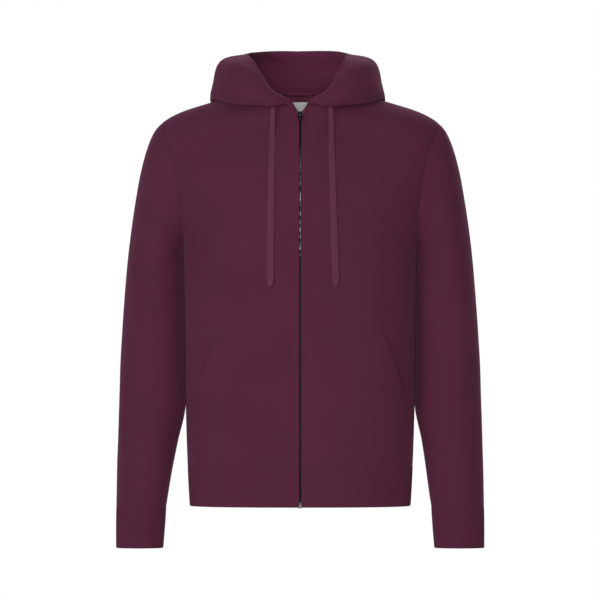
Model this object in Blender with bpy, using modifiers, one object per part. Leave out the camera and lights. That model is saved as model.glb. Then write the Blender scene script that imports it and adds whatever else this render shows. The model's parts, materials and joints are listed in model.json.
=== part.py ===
"""A zip-up fleece hoodie, closed, filled out as on a wearer, with its hood down and its sleeves hanging.

The frame is the wearer's: +X is the wearer's left, -Y the front, +Z up. The origin is in the middle of
the neck opening, at the height of the shoulders. Sizes are in millimetres and become metres in mesh
data. Every cloth piece is a thin closed wall: a grid of points on its outer face, and the same grid
moved inwards. Pieces meet at seams, where they share their edge points and stay a small gap apart.
"""

import math

import bmesh
import bpy
import numpy as np
from mathutils import Matrix, Vector

MM = 0.001
GAP = 0.3  # between pieces that are sewn or laid together
SHARP_ANGLE = 30.0

# Cloth
FLEECE = 2.0
RIB = 2.2
HOOD_CLOTH = 2.8  # two layers
POCKET_CLOTH = 1.8
RIB_RELIEF = 0.6  # from the bottom of a groove to the top of a rib
HEM_RIBS = 254
CUFF_RIBS = 62

# Torso, by height: half width at the side seam, front and back at the centre line
HEM = -590.0  # the seam between panels and hem band
BAND_END = -654.0
UNDERARM = -250.0
ZIP_TOP = -28.0
NECK_BACK_TOP = 2.0
SIDE_Y = 3.0
SIDE_WIDTH = [  # height, half width
    (BAND_END, 176.5),
    (HEM, 180.0),
    (-500.0, 183.0),
    (-400.0, 184.8),
    (-325.0, 185.6),
    (UNDERARM, 188.0),
]
CENTRE_DEPTH = [  # height, front, back
    (BAND_END, -118.0, 104.0),
    (HEM, -125.0, 108.0),
    (-500.0, -129.0, 107.0),
    (-400.0, -132.0, 106.0),
    (-325.0, -134.0, 111.0),
    (UNDERARM, -136.0, 118.0),
    (-180.0, -135.0, 125.0),
    (-100.0, -118.0, 119.0),
    (-60.0, -98.0, 109.0),
    (ZIP_TOP, -81.0, 96.0),
    (NECK_BACK_TOP, -70.0, 76.0),
]
FULLNESS = 0.85  # below 1, a body section is squarer than an ellipse
ZIP_EDGE = 3.3  # from the centre line to each front's edge
NECK_FRONT = [  # points along the neckline, zip to shoulder seam
    (4.7, -81.0, ZIP_TOP),
    (17.0, -80.0, -15.0),
    (38.0, -69.0, -5.0),
    (62.0, -45.0, 3.0),
    (79.0, -18.0, 9.0),
    (86.0, 8.0, 12.0),
]
NECK_BACK = [  # points along the neckline, centre back to shoulder seam
    (0.0, 76.0, NECK_BACK_TOP),
    (27.0, 73.0, 3.0),
    (51.0, 63.0, 5.0),
    (70.0, 48.0, 7.0),
    (82.0, 28.0, 10.0),
    (86.0, 8.0, 12.0),
]

# Rows and columns of a panel's grid
SIDE_ROWS = 6
CHEST_ROWS = 8
NECK_ROWS = len(NECK_FRONT) - 1
COLUMNS = 12
NECK_TURN = 120.0  # the degrees round the armhole where the row from the zip's top ends
SEAM_ANGLE = 30.0  # how far a row stops short of facing sideways at the middle of the armhole

# Sleeve rings lie in the plane of Y and the line from an outer to an inner point, from the armhole down
SLEEVE = [  # outer x, outer z, inner x, inner z, half depth, middle y, inward bow
    (222.0, -42.0, 188.0, UNDERARM, 66.0, 3.0, 12.0),
    (234.0, -57.0, 189.5, -254.0, 66.0, 3.0, 8.0),
    (245.0, -83.0, 190.0, -258.0, 66.0, 3.0, 4.0),
    (255.0, -120.0, 190.0, -263.0, 66.0, 3.0, 0.0),
    (262.0, -158.0, 190.0, -270.0, 66.0, 3.0, 0.0),
    (267.0, -190.0, 190.0, -280.0, 65.5, 2.0, 0.0),
    (272.0, -228.0, 189.5, -296.0, 65.0, 2.0, 0.0),
    (276.5, -270.0, 189.0, -318.0, 65.0, 1.0, 0.0),
    (281.5, -330.0, 188.5, -352.0, 64.0, 0.0, 0.0),
    (285.0, -380.0, 188.0, -392.0, 63.0, -1.0, 0.0),
    (288.0, -432.0, 187.5, -438.0, 62.0, -2.0, 0.0),
    (290.5, -495.0, 187.5, -497.0, 60.0, -4.0, 0.0),
    (292.0, -550.0, 195.0, -550.0, 55.0, -6.0, 0.0),
    (293.0, -600.0, 205.0, -600.0, 49.0, -8.0, 0.0),
    (293.9, -655.0, 214.0, -655.0, 42.0, -9.0, 0.0),
]
CUFF = [
    SLEEVE[-1],
    (294.2, -721.0, 219.0, -721.0, 37.0, -10.0, 0.0),
]

# Hood, one row for each point of the neckline, from the zip round to the centre back. Its cloth leaves
# the neckline, passes the point under its roll, the roll's bottom, its outer wall and its top, and
# ends at the edge round the face.
HOOD = [  # under, bottom, wall, top, edge
    ((4.8, -81.4, -27.2), (4.9, -81.5, -26.4), (4.9, -81, -25.7), (4.9, -80.3, -25), (4.9, -79.2, -24.5)),
    ((18, -84, -14.5), (18, -88, -12.5), (18, -90, -9.5), (17, -88, -7), (15.5, -84, -7)),
    ((40, -82, -12), (42, -95, -17), (44, -101, -7), (45, -97, 5), (42, -86, 9)),
    ((68, -67, -6), (73, -88, -15), (78, -97, 7), (72, -88, 31), (60, -70, 37)),
    ((93, -38, 0), (106, -60, -11), (114, -70, 18), (101, -62, 48), (71, -42, 57)),
    ((110, -6, 6), (133, -20, -4.5), (134, -22, 20), (122, -18, 55), (79, -8, 67)),
    ((112, 24, 6), (139, 16, -4), (133, 16, 24), (120, 20, 60), (82, 26, 70)),
    ((100, 62, 3), (134, 76, -24), (133, 78, 12), (116, 74, 58), (80, 64, 72)),
    ((74, 88, -6), (110, 124, -96), (122, 142, -8), (100, 124, 57), (66, 102, 76)),
    ((36, 104, -9), (60, 146, -150), (66, 172, -50), (60, 156, 44), (40, 130, 78)),
    ((0, 107, -8), (0, 150, -172), (0, 180, -64), (0, 166, 40), (0, 140, 78)),
]
HOOD_ROWS = 15
HOOD_COLUMNS = 20
HOOD_LEAN = -4.5  # at the sides and back, the open edge lies this far towards the wearer's right
LEAN_FROM = 10  # the column from which it leans in full
LEAN_ROWS = (3, 8)  # the rows between which the lean sets in

# Pouch pockets, each on one front
POCKET_TOP = -378.0
POCKET_MOUTH_END = -487.0  # where the slanted mouth meets the upright side
POCKET_INNER_X = 7.0
POCKET_TOP_X = 131.5
POCKET_SIDE_X = 162.0
POCKET_ROWS_BELOW = 4
POCKET_ROWS_ABOVE = 5
POCKET_COLUMNS = 12
POCKET_STAND_OFF = 0.8
POCKET_FULLNESS = 3.0  # how far the sewn part stands off the front
MOUTH_FULLNESS = 9.0  # and the mouth

# Zip
CHAIN_TOP = -28.6
CHAIN_WIDTH = 2.2
CHAIN_DEPTH = (-0.2, 3.1)  # behind the fronts' outer face
TAPE_X = (0.5, 9.5)
TAPE_DEPTH = (3.4, 4.1)
TAPE_END = BAND_END + 2.0
BOX_SIZE = (6.0, 3.2, 10.0)
BOX_BOTTOM = -655.0
BOX_PROUD = 1.0  # how far it stands in front of the zip's line
CHAIN_END = BOX_BOTTOM + BOX_SIZE[2] + GAP

# The slider is two plates joined by a post, with a bridge that holds the pull tab
SLIDER_HEIGHT = -31.0
SLIDER_SIZE = (8.0, 1.6, 12.0)
SLIDER_FRONT = -2.2  # the front plate's outer face, from the fronts' outer face
BACK_PLATE = (4.5, 5.7)
POST_HALF_WIDTH = 1.5
POST_FOOT = 3.4
BRIDGE_HALF_WIDTH = 1.5
BRIDGE_RISE = 3.2
BRIDGE_HALF_HEIGHT = 4.4
BRIDGE_BAR = 1.2
JOIN = 0.2  # how far the slider's solids run into each other
AXIS_HEIGHT = 2.2  # the pull tab's axis, above the slider's middle
TAB_SIZE = (5.8, 1.1, 15.6)
TAB_BAR = 0.55  # half of the tab's top bar
TAB_WINDOW = (3.8, 6.9)

# Bare label, sewn by its top edge inside the back, below the neck seam
LABEL_WIDTH = 40.0
LABEL_TOP = -6.5
LABEL_END = -50.0
LABEL_Y = 73.2
LABEL_THICKNESS = 0.6

# Drawcord: a flat cord whose two ends hang from eyelets under the hood's roll
CORD_WIDTH = 10.0
CORD_NECK_WIDTH = 7.0
CORD_THICKNESS = 1.4
EYELET_RADIUS = 4.5
EYELET_HOLE = 2.2
EYELET_THICKNESS = 1.2
EYELET_STAND_OFF = 0.8
EYELET_STEPS = 16
EYELET_ROW = 4.6  # the place on the hood's grid
EYELET_COLUMN = {"left": 4.5, "right": 4.1}
CORD_ROUTE = {  # the wearer's left and right ends, from the eyelet to the tip
    "left": [
        (48.4, -86.6, -18.2),
        (48.9, -86.8, -32.0),
        (49.3, -87.4, -46.0),
        (49.6, -93.4, -65.0),
        (49.8, -101.0, -80.0),
        (50.0, -110.0, -98.0),
        (50.6, -119.0, -120.0),
        (51.5, -127.4, -150.0),
        (52.5, -132.1, -180.0),
        (53.6, -134.7, -215.0),
        (55.0, -135.0, -260.0),
        (55.7, -135.0, -303.0),
    ],
    "right": [
        (-42.9, -88.6, -18.7),
        (-43.8, -88.7, -32.0),
        (-44.4, -89.0, -46.0),
        (-44.8, -94.3, -65.0),
        (-45.1, -102.0, -80.0),
        (-45.4, -111.0, -98.0),
        (-45.8, -120.0, -120.0),
        (-46.3, -128.4, -150.0),
        (-46.7, -133.1, -180.0),
        (-47.0, -135.5, -215.0),
        (-47.4, -135.7, -260.0),
        (-47.6, -135.7, -303.0),
    ],
}
CHEST_SLOPE = 0.17  # how the cords turn to lie flat on the rounded chest
CORD_POINTS = 36
NECK_SHARE = 0.25  # of the hanging length, over which it widens

BURGUNDY = (0.078, 0.019, 0.041)
CORD_COLOUR = (0.105, 0.030, 0.055)
ZIP_BLACK = (0.012, 0.011, 0.012)
GUNMETAL = (0.035, 0.033, 0.036)
WHITE = (0.82, 0.81, 0.80)

SIDES = {"left": 1.0, "right": -1.0}


# Small mathematics


def smooth(table, at):
    """The later columns of a table, read at a value of its first column along a smooth curve."""
    rows = np.asarray(table, float)
    keys, values = rows[:, 0], rows[:, 1:]
    slopes = np.gradient(values, keys, axis=0)
    k = int(np.clip(np.searchsorted(keys, at) - 1, 0, len(keys) - 2))
    span = keys[k + 1] - keys[k]
    t = (at - keys[k]) / span
    return (
        (1 + 2 * t) * (1 - t) ** 2 * values[k]
        + t * (1 - t) ** 2 * span * slopes[k]
        + t * t * (3 - 2 * t) * values[k + 1]
        + t * t * (t - 1) * span * slopes[k + 1]
    )


def through(points, count):
    """Points at equal steps along a smooth curve through the given ones."""
    table = [(i, *point) for i, point in enumerate(points)]
    return np.array([smooth(table, at) for at in np.linspace(0, len(points) - 1, count)])


def unit(vectors):
    return vectors / np.linalg.norm(vectors, axis=-1, keepdims=True)


def flattened(vectors, axis):
    """The same directions without their part along one axis."""
    level = np.array(vectors, float)
    level[..., axis] = 0
    return unit(level)


def mirrored(points, side):
    return points * np.array([side, 1.0, 1.0])


def inward(grid, towards, closed=False):
    """Directions square to a grid, on the side of the given points."""
    along = np.gradient(grid, axis=0)
    across = np.gradient(grid, axis=1)
    if closed:
        across = (np.roll(grid, -1, axis=1) - np.roll(grid, 1, axis=1)) / 2
    square = unit(np.cross(across, along))
    if (square * (towards - grid)).sum() < 0:
        square = -square
    return square


# Meshes


def material(name, colour, roughness, metallic=0.0):
    made = bpy.data.materials.new(name)
    made.use_nodes = True
    shader = made.node_tree.nodes["Principled BSDF"]
    shader.inputs["Base Color"].default_value = (*colour, 1)
    shader.inputs["Roughness"].default_value = roughness
    shader.inputs["Metallic"].default_value = metallic
    made.diffuse_color = (*colour, 1)
    return made


def add(name, mesh, look, group):
    """An object for a closed bmesh, with its faces turned to point out."""
    bmesh.ops.recalc_face_normals(mesh, faces=mesh.faces)
    if mesh.calc_volume(signed=True) < 0:
        bmesh.ops.reverse_faces(mesh, faces=mesh.faces)
    data = bpy.data.meshes.new(name)
    mesh.to_mesh(data)
    mesh.free()
    data.shade_smooth()
    data.set_sharp_from_angle(angle=math.radians(SHARP_ANGLE))
    data.materials.append(look)
    made = bpy.data.objects.new(name, data)
    group.objects.link(made)
    return made


def wall(patches):
    """A closed wall of patches that share edges. A patch is a grid of outer and one of inner points."""
    mesh = bmesh.new()
    pairs = {}
    partner = {}

    def pair(outer, inner):
        key = tuple(np.round(outer, 4))
        if key not in pairs:
            corner = mesh.verts.new(outer * MM)
            partner[corner] = mesh.verts.new(inner * MM)
            pairs[key] = corner
        return pairs[key]

    inner_faces = []
    for outer, inner in patches:
        rows, columns = outer.shape[:2]
        corners = [[pair(outer[r, c], inner[r, c]) for c in range(columns)] for r in range(rows)]
        for r in range(rows - 1):
            for c in range(columns - 1):
                loop = (corners[r][c], corners[r][c + 1], corners[r + 1][c + 1], corners[r + 1][c])
                mesh.faces.new(loop)
                inner_faces.append([partner[corner] for corner in reversed(loop)])
    rim = [edge.verts[:] for edge in mesh.edges if len(edge.link_faces) == 1]
    for loop in inner_faces:
        mesh.faces.new(loop)
    for a, b in rim:
        mesh.faces.new((a, b, partner[b], partner[a]))
    return mesh


def resampled(points, count):
    """Points at equal distances along a line through the given ones."""
    steps = np.linalg.norm(np.diff(points, axis=0), axis=1)
    length = np.concatenate([[0.0], np.cumsum(steps)])
    at = np.linspace(0, length[-1], count)
    return np.stack([np.interp(at, length, points[:, k]) for k in range(3)], axis=1)


def ribbed_wall(edges, ribs, ends=None):
    """A wall between two level edges, with upright ribs outside and plain inside.

    A band that is open has its two ends in the given direction; without one, it closes on itself.
    """
    grid = np.array([resampled(edge, 2 * ribs + 1) for edge in edges])
    into = flattened(inward(grid, grid.mean(axis=1, keepdims=True)), 2)
    if ends is None:
        into[:, 0] = into[:, -1] = unit(into[:, 0] + into[:, -1])
    else:
        into[:, 0] = into[:, -1] = ends
    relief = np.where(np.arange(2 * ribs + 1) % 2, RIB_RELIEF / 2, -RIB_RELIEF / 2)
    outer = grid - into * relief[:, None]
    inner = grid[:, ::2] + into[:, ::2] * RIB
    mesh = bmesh.new()
    (top, bottom), (top_in, bottom_in) = (
        [[mesh.verts.new(point * MM) for point in line] for line in lines] for lines in (outer, inner)
    )
    if ends is None:
        for line in (top, bottom, top_in, bottom_in):
            mesh.verts.remove(line[-1])
            line[-1] = line[0]
    for k in range(2 * ribs):
        mesh.faces.new((top[k], top[k + 1], bottom[k + 1], bottom[k]))
    for k in range(ribs):
        mesh.faces.new((top_in[k], bottom_in[k], bottom_in[k + 1], top_in[k + 1]))
        for line, line_in in ((top, top_in), (bottom, bottom_in)):
            mesh.faces.new((*line[2 * k : 2 * k + 3], line_in[k + 1], line_in[k]))
    if ends is not None:
        for k in (0, -1):
            mesh.faces.new((top[k], bottom[k], bottom_in[k], top_in[k]))
    return mesh


def sheet_patch(outer, directions, thickness, closed=False):
    """The patch of a sheet that goes inwards from its outer points."""
    inner = outer + directions * thickness
    if closed:
        outer, inner = (np.concatenate([grid, grid[:, :1]], axis=1) for grid in (outer, inner))
    return outer, inner


def strip(points, widths, thickness, across=(1.0, 0.0, 0.0)):
    """A flat strip along points: a rectangle at each, its width along the given direction."""
    along = unit(np.gradient(points, axis=0))
    sideways = unit(across - along * (along @ np.array(across))[:, None])
    upright = np.cross(along, sideways)
    mesh = bmesh.new()
    sections = []
    for point, width, u, v in zip(points, np.broadcast_to(widths, len(points)), sideways, upright):
        half = (u * width / 2, v * thickness / 2)
        turns = ((1, 1), (-1, 1), (-1, -1), (1, -1))
        sections.append([mesh.verts.new((point + a * half[0] + b * half[1]) * MM) for a, b in turns])
    for one, two in zip(sections, sections[1:]):
        for k in range(4):
            mesh.faces.new((one[k], one[k - 1], two[k - 1], two[k]))
    mesh.faces.new(sections[0])
    mesh.faces.new(sections[-1])
    return mesh


def box(low, high):
    """A closed box between two corners."""
    low, high = np.array(low, float), np.array(high, float)
    mesh = bmesh.new()
    size = Matrix.Diagonal((*(high - low) * MM, 1))
    bmesh.ops.create_cube(mesh, size=1, matrix=Matrix.Translation((low + high) / 2 * MM) @ size)
    return mesh


# The torso's form


def row(inner, outer, end):
    """Points from the centre line to the side: a quarter of a rounded section, cut off at an angle."""
    angles = np.linspace(0, 1, COLUMNS + 1) * end
    across = np.sin(angles) ** FULLNESS / math.sin(end) ** FULLNESS
    last = math.cos(end) ** FULLNESS if end < math.pi / 2 else 0.0
    depth = (np.maximum(np.cos(angles), 0) ** FULLNESS - last) / (1 - last)
    return np.stack(
        [
            inner[0] + (outer[0] - inner[0]) * across,
            outer[1] + (inner[1] - outer[1]) * depth,
            inner[2] + (outer[2] - inner[2]) * across,
        ],
        axis=1,
    )


def centre(height, front):
    """The point on a panel's inner edge, on the zip's line or the centre back line."""
    depth = smooth(CENTRE_DEPTH, height)[0 if front else 1]
    return np.array([ZIP_EDGE if front else 0.0, depth, height])


def side_point(height):
    return np.array([smooth(SIDE_WIDTH, height)[0], SIDE_Y, height])


def section(height, front):
    """A level row of a panel below the underarm."""
    return row(centre(height, front), side_point(height), math.pi / 2)


def armhole_turns():
    """Angles from the underarm to the shoulder tip, one for each row of a panel above the underarm."""
    lower = np.linspace(0, NECK_TURN, CHEST_ROWS + 1)
    upper = np.linspace(NECK_TURN, 180, NECK_ROWS + 1)[1:]
    return np.radians(np.concatenate([lower, upper]))


def ring_point(ring, turn):
    """A point of a sleeve ring: 0 at its inner end, half a turn at its outer one, negative in front."""
    outer_x, outer_z, inner_x, inner_z, depth, middle, bow = ring
    share = (1 - math.cos(turn)) / 2
    return np.array(
        [
            inner_x + (outer_x - inner_x) * share - bow * math.sin(turn) ** 2,
            middle + depth * math.sin(turn),
            inner_z + (outer_z - inner_z) * share,
        ]
    )


def armhole_frame():
    """Unit vectors of the armhole: up along it, and out of it towards the sleeve."""
    outer_x, outer_z, inner_x, inner_z = SLEEVE[0][:4]
    up = unit(np.array([outer_x - inner_x, 0.0, outer_z - inner_z]))
    return up, np.array([up[2], 0.0, -up[0]])


def armhole_inward(turn):
    """The direction towards the armhole's middle, which body and sleeve share at their seam."""
    outer_x, outer_z, inner_x, inner_z, depth = SLEEVE[0][:5]
    half_length = math.hypot(outer_x - inner_x, outer_z - inner_z) / 2
    up = armhole_frame()[0]
    return unit(math.cos(turn) / half_length * up - math.sin(turn) / depth * np.array([0.0, 1.0, 0.0]))


def neck_inward(points):
    """Level directions towards the middle of the neck, which body and hood share at their seam."""
    return flattened(-np.asarray(points), 2)


def panel_rows(front):
    """The ends and the closing angle of each row of one half of the front or back."""
    face = -1 if front else 1
    neckline = NECK_FRONT if front else NECK_BACK
    top = neckline[0][2]
    low = np.linspace(HEM, UNDERARM, SIDE_ROWS + 1)
    rows = [(centre(z, front), side_point(z), math.pi / 2) for z in low]
    chest = np.linspace(UNDERARM, top, CHEST_ROWS + 1)
    starts = [centre(z, front) for z in chest[:-1]] + [np.array(point) for point in neckline]
    for start, turn in list(zip(starts, armhole_turns()))[1:]:
        close = math.radians(90 - SEAM_ANGLE * math.sin(turn))
        rows.append((start, ring_point(SLEEVE[0], face * turn), close))
    return rows


def panel(front):
    """One half of the front or back, for the wearer's left: its outer points and inward directions."""
    face = -1 if front else 1
    grid = np.array([row(*ends) for ends in panel_rows(front)])
    axis = grid * np.array([0.0, 0.0, 1.0])
    into = inward(grid, axis)
    neck = SIDE_ROWS + CHEST_ROWS
    turns = face * armhole_turns()
    # The centre line, the hem seam and the shoulder seam
    into[:, 0] = flattened(into[:, 0], 0)
    into[0] = flattened(into[0], 2)
    along_shoulder = unit(grid[-1, -1] - grid[-1, 0])
    into[-1] = (along_shoulder[2], 0.0, -along_shoulder[0])
    # The side seam, the armhole and the neckline
    into[:SIDE_ROWS, -1] = (-1.0, 0.0, 0.0)
    into[SIDE_ROWS:, -1] = [armhole_inward(turn) for turn in turns]
    into[neck:, 0] = neck_inward(grid[neck:, 0])
    grid[0, :, 2] += GAP / 2
    grid[-1, :, 1] += face * GAP / 2
    grid[: SIDE_ROWS + 1, -1, 1] += face * GAP / 2
    grid[SIDE_ROWS:, -1] -= armhole_frame()[1] * GAP / 2
    grid[neck:, 0, 2] -= GAP / 2
    return grid, into


def front_panel(side, group):
    grid, into = panel(front=True)
    patch = sheet_patch(mirrored(grid, SIDES[side]), mirrored(into, SIDES[side]), FLEECE)
    look = material(f"fleece front {side}", BURGUNDY, 0.9)
    return add(f"front_{side}", wall([patch]), look, group)


def back_panel(group):
    grid, into = panel(front=False)
    halves = [sheet_patch(mirrored(grid, s), mirrored(into, s), FLEECE) for s in SIDES.values()]
    return add("back", wall(halves), material("fleece back", BURGUNDY, 0.9), group)


def hem_band(group):
    """One strip from the zip round the back to the zip."""
    edges = []
    for height in (HEM - GAP / 2, BAND_END):
        half = np.concatenate([section(height, True), section(height, False)[-2::-1]])
        edges.append(np.concatenate([half, mirrored(half, -1.0)[-2::-1]]))
    mesh = ribbed_wall(edges, HEM_RIBS, ends=(0.0, 1.0, 0.0))
    return add("hem_band", mesh, material("rib hem", BURGUNDY, 0.92), group)


# Sleeves and cuffs


def tube(rings):
    """A closed grid through rings, and directions towards each ring's middle."""
    turns = armhole_turns()
    turns = np.concatenate([turns, -turns[-2:0:-1]])
    grid = np.array([[ring_point(ring, turn) for turn in turns] for ring in rings])
    into = inward(grid, grid.mean(axis=1, keepdims=True), closed=True)
    return grid, into, turns


def sleeve(side, group):
    grid, into, turns = tube(SLEEVE)
    into[0] = [armhole_inward(turn) for turn in turns]
    into[-1] = flattened(into[-1], 2)
    grid[0] += armhole_frame()[1] * GAP / 2
    grid[-1, :, 2] += GAP / 2
    patch = sheet_patch(mirrored(grid, SIDES[side]), mirrored(into, SIDES[side]), FLEECE, closed=True)
    look = material(f"fleece sleeve {side}", BURGUNDY, 0.9)
    return add(f"sleeve_{side}", wall([patch]), look, group)


def cuff(side, group):
    grid = tube(CUFF)[0]
    grid[0, :, 2] -= GAP / 2
    grid = mirrored(np.concatenate([grid, grid[:, :1]], axis=1), SIDES[side])
    look = material(f"rib cuff {side}", BURGUNDY, 0.92)
    return add(f"cuff_{side}", ribbed_wall(grid, CUFF_RIBS), look, group)


# Hood


def hood_grid(side):
    """The outer points of a hood half: rows from the neckline to the face edge, columns round the neck."""
    neckline = NECK_FRONT + NECK_BACK[-2::-1]
    stations = [through([seam, *points], HOOD_ROWS + 1) for seam, points in zip(neckline, HOOD)]
    grid = np.array([through(line, HOOD_COLUMNS + 1) for line in np.stack(stations, axis=1)])
    grid[0, 1::2] = (grid[0, :-1:2] + grid[0, 2::2]) / 2
    grid[:, -1, 0] = GAP / 2
    grid[0, :, 2] += GAP / 2
    grid = mirrored(grid, SIDES[side])
    round_neck = np.clip(np.arange(HOOD_COLUMNS + 1) / LEAN_FROM, 0, 1)
    first, last = LEAN_ROWS
    outwards = np.clip((np.arange(HOOD_ROWS + 1) - first) / (last - first), 0, 1)
    grid[..., 0] += HOOD_LEAN * outwards[:, None] * round_neck**2
    return grid


def hood_half(side, group):
    grid = hood_grid(side)
    into = inward(grid, grid.mean(axis=0, keepdims=True))
    into[:, -1] = flattened(into[:, -1], 0)
    into[0] = neck_inward(grid[0])
    into[:, 0] = (0.0, 1.0, 0.0)
    look = material(f"fleece hood {side}", BURGUNDY, 0.9)
    return add(f"hood_{side}", wall([sheet_patch(grid, into, HOOD_CLOTH)]), look, group)


# Pockets


def front_surface(x, height):
    """The front's outer face below the underarm, at a distance from the centre line."""
    inner, outer = centre(height, True), side_point(height)
    share = (x - inner[0]) / (outer[0] - inner[0])
    depth = (1 - share ** (2 / FULLNESS)) ** (FULLNESS / 2)
    return np.array([x, outer[1] + (inner[1] - outer[1]) * depth, height])


def pocket(side, group):
    """A panel sewn on at its top, its bottom, its inner and lower side, and open along its slanted mouth."""
    below = np.linspace(HEM + GAP, POCKET_MOUTH_END, POCKET_ROWS_BELOW + 1)
    above = np.linspace(POCKET_MOUTH_END, POCKET_TOP, POCKET_ROWS_ABOVE + 1)[1:]
    shares = np.linspace(0, 1, POCKET_COLUMNS + 1)
    base, stand_off = [], []
    for height in np.concatenate([below, above]):
        climb = max(0.0, (height - POCKET_MOUTH_END) / (POCKET_TOP - POCKET_MOUTH_END))
        edge = POCKET_SIDE_X + (POCKET_TOP_X - POCKET_SIDE_X) * climb
        upright = math.sin(math.pi * (height - HEM) / (POCKET_TOP - HEM))
        base.append([front_surface(POCKET_INNER_X + (edge - POCKET_INNER_X) * s, height) for s in shares])
        sewn = POCKET_FULLNESS * upright * np.sin(math.pi * shares)
        stand_off.append(POCKET_STAND_OFF + sewn + MOUTH_FULLNESS * math.sin(math.pi * climb) * shares**2)
    base, stand_off = np.array(base), np.array(stand_off)[..., None]
    into = inward(base, base * np.array([0.0, 0.0, 1.0]))
    outer = base - into * (stand_off + POCKET_CLOTH)
    patch = sheet_patch(mirrored(outer, SIDES[side]), mirrored(into, SIDES[side]), POCKET_CLOTH)
    look = material(f"fleece pocket {side}", BURGUNDY, 0.9)
    return add(f"pocket_{side}", wall([patch]), look, group)


# Zip


def zip_line(top, bottom):
    """Points on the line between the fronts, with one at each row of the fronts."""
    front = panel_rows(True)[: SIDE_ROWS + CHEST_ROWS + 1]
    rows = [BAND_END, *(start[2] for start, _, _ in front)]
    depths = [centre(height, True)[1] for height in rows]
    heights = [bottom, *(height for height in rows if bottom < height < top), top]
    return np.array([(0.0, np.interp(height, rows, depths), height) for height in heights])


def zip_strip(name, x_range, depth_range, line, look, group):
    along = unit(np.gradient(line, axis=0))
    behind = np.stack([np.zeros(len(line)), along[:, 2], -along[:, 1]], axis=1)
    points = line + behind * sum(depth_range) / 2 + np.array([sum(x_range) / 2, 0.0, 0.0])
    mesh = strip(points, abs(x_range[1] - x_range[0]), depth_range[1] - depth_range[0])
    return add(name, mesh, look, group)


def zip_parts(group):
    chain, tape = zip_line(CHAIN_TOP, CHAIN_END), zip_line(CHAIN_TOP, TAPE_END)
    for side, sign in SIDES.items():
        teeth = (sign * GAP / 2, sign * (GAP / 2 + CHAIN_WIDTH))
        look = material(f"zip chain {side}", ZIP_BLACK, 0.35)
        zip_strip(f"zip_chain_{side}", teeth, CHAIN_DEPTH, chain, look, group)
        edges = tuple(sign * x for x in TAPE_X)
        look = material(f"zip tape {side}", ZIP_BLACK, 0.8)
        zip_strip(f"zip_tape_{side}", edges, TAPE_DEPTH, tape, look, group)
    front = chain[0][1] - BOX_PROUD
    low = (-BOX_SIZE[0] / 2, front, BOX_BOTTOM)
    high = (BOX_SIZE[0] / 2, front + BOX_SIZE[1], BOX_BOTTOM + BOX_SIZE[2])
    add("zip_box", box(low, high), material("zip box", GUNMETAL, 0.3, 0.9), group)


def slider_frame():
    """The slider's place: on the zip's line, with its length along the chain."""
    line = zip_line(CHAIN_TOP, CHAIN_END)
    chain = unit(line[-1] - line[-2])
    place = line[-1] + chain * (SLIDER_HEIGHT - line[-1][2]) / chain[2]
    tilt = Matrix.Rotation(math.atan2(-chain[1], chain[2]), 4, "X")
    return Matrix.Translation(place * MM) @ tilt


def hidden_solid(name, mesh, frame, helpers):
    """A solid that only takes part in a Boolean."""
    made = add(name, mesh, material(name, GUNMETAL, 0.3, 0.9), helpers)
    made.matrix_world = frame
    made.display_type = "WIRE"
    made.hide_render = True
    return made


def boolean(target, other, operation):
    cut = target.modifiers.new(other.name, "BOOLEAN")
    cut.object = other
    cut.operation = operation


def slider(frame, group, helpers):
    """A front plate with a bridge, and a back plate, joined above the chain's end."""
    half_x, half_z = SLIDER_SIZE[0] / 2, SLIDER_SIZE[2] / 2
    plate_back = SLIDER_FRONT + SLIDER_SIZE[1]
    bridge_front = SLIDER_FRONT - BRIDGE_RISE
    body = add(
        "zip_slider",
        box((-half_x, SLIDER_FRONT, -half_z), (half_x, plate_back, half_z)),
        material("slider metal", GUNMETAL, 0.25, 0.9),
        group,
    )
    body.matrix_world = frame
    solids = {
        "slider post": (
            (-POST_HALF_WIDTH, plate_back - JOIN, POST_FOOT),
            (POST_HALF_WIDTH, BACK_PLATE[0] + JOIN, half_z - JOIN),
        ),
        "slider back plate": ((-half_x, BACK_PLATE[0], -half_z), (half_x, BACK_PLATE[1], half_z)),
        "slider bridge": (
            (-BRIDGE_HALF_WIDTH, bridge_front, -BRIDGE_HALF_HEIGHT),
            (BRIDGE_HALF_WIDTH, SLIDER_FRONT + JOIN, BRIDGE_HALF_HEIGHT),
        ),
    }
    for name, corners in solids.items():
        boolean(body, hidden_solid(name, box(*corners), frame, helpers), "UNION")
    gap = BRIDGE_HALF_HEIGHT - BRIDGE_BAR
    window = box((-half_x, bridge_front + BRIDGE_BAR, -gap), (half_x, SLIDER_FRONT, gap))
    boolean(body, hidden_solid("slider window", window, frame, helpers), "DIFFERENCE")
    return body


def pull_tab(frame, group, helpers):
    """A flat tab whose top bar turns under the slider's bridge. Its origin is on its axis."""
    axis_depth = SLIDER_FRONT - (BRIDGE_RISE - BRIDGE_BAR) / 2
    hinge = frame @ Matrix.Translation(Vector((0.0, axis_depth, AXIS_HEIGHT)) * MM)
    width, thickness, length = TAB_SIZE
    solid = box(
        (-width / 2, -thickness / 2, TAB_BAR - length),
        (width / 2, thickness / 2, TAB_BAR),
    )
    tab = add("pull_tab", solid, material("tab metal", GUNMETAL, 0.25, 0.9), group)
    tab.matrix_world = hinge
    opening, height = TAB_WINDOW
    window = box((-opening / 2, -thickness, -TAB_BAR - height), (opening / 2, thickness, -TAB_BAR))
    boolean(tab, hidden_solid("tab window", window, hinge, helpers), "DIFFERENCE")
    return tab


# Label, eyelets and cord


def label(group):
    """A bare label that hangs inside the back, below the neck seam."""
    points = np.array([(0.0, LABEL_Y, h) for h in (LABEL_TOP, LABEL_END)])
    look = material("label", WHITE, 0.7)
    return add("neck_label", strip(points, LABEL_WIDTH, LABEL_THICKNESS), look, group)


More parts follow.
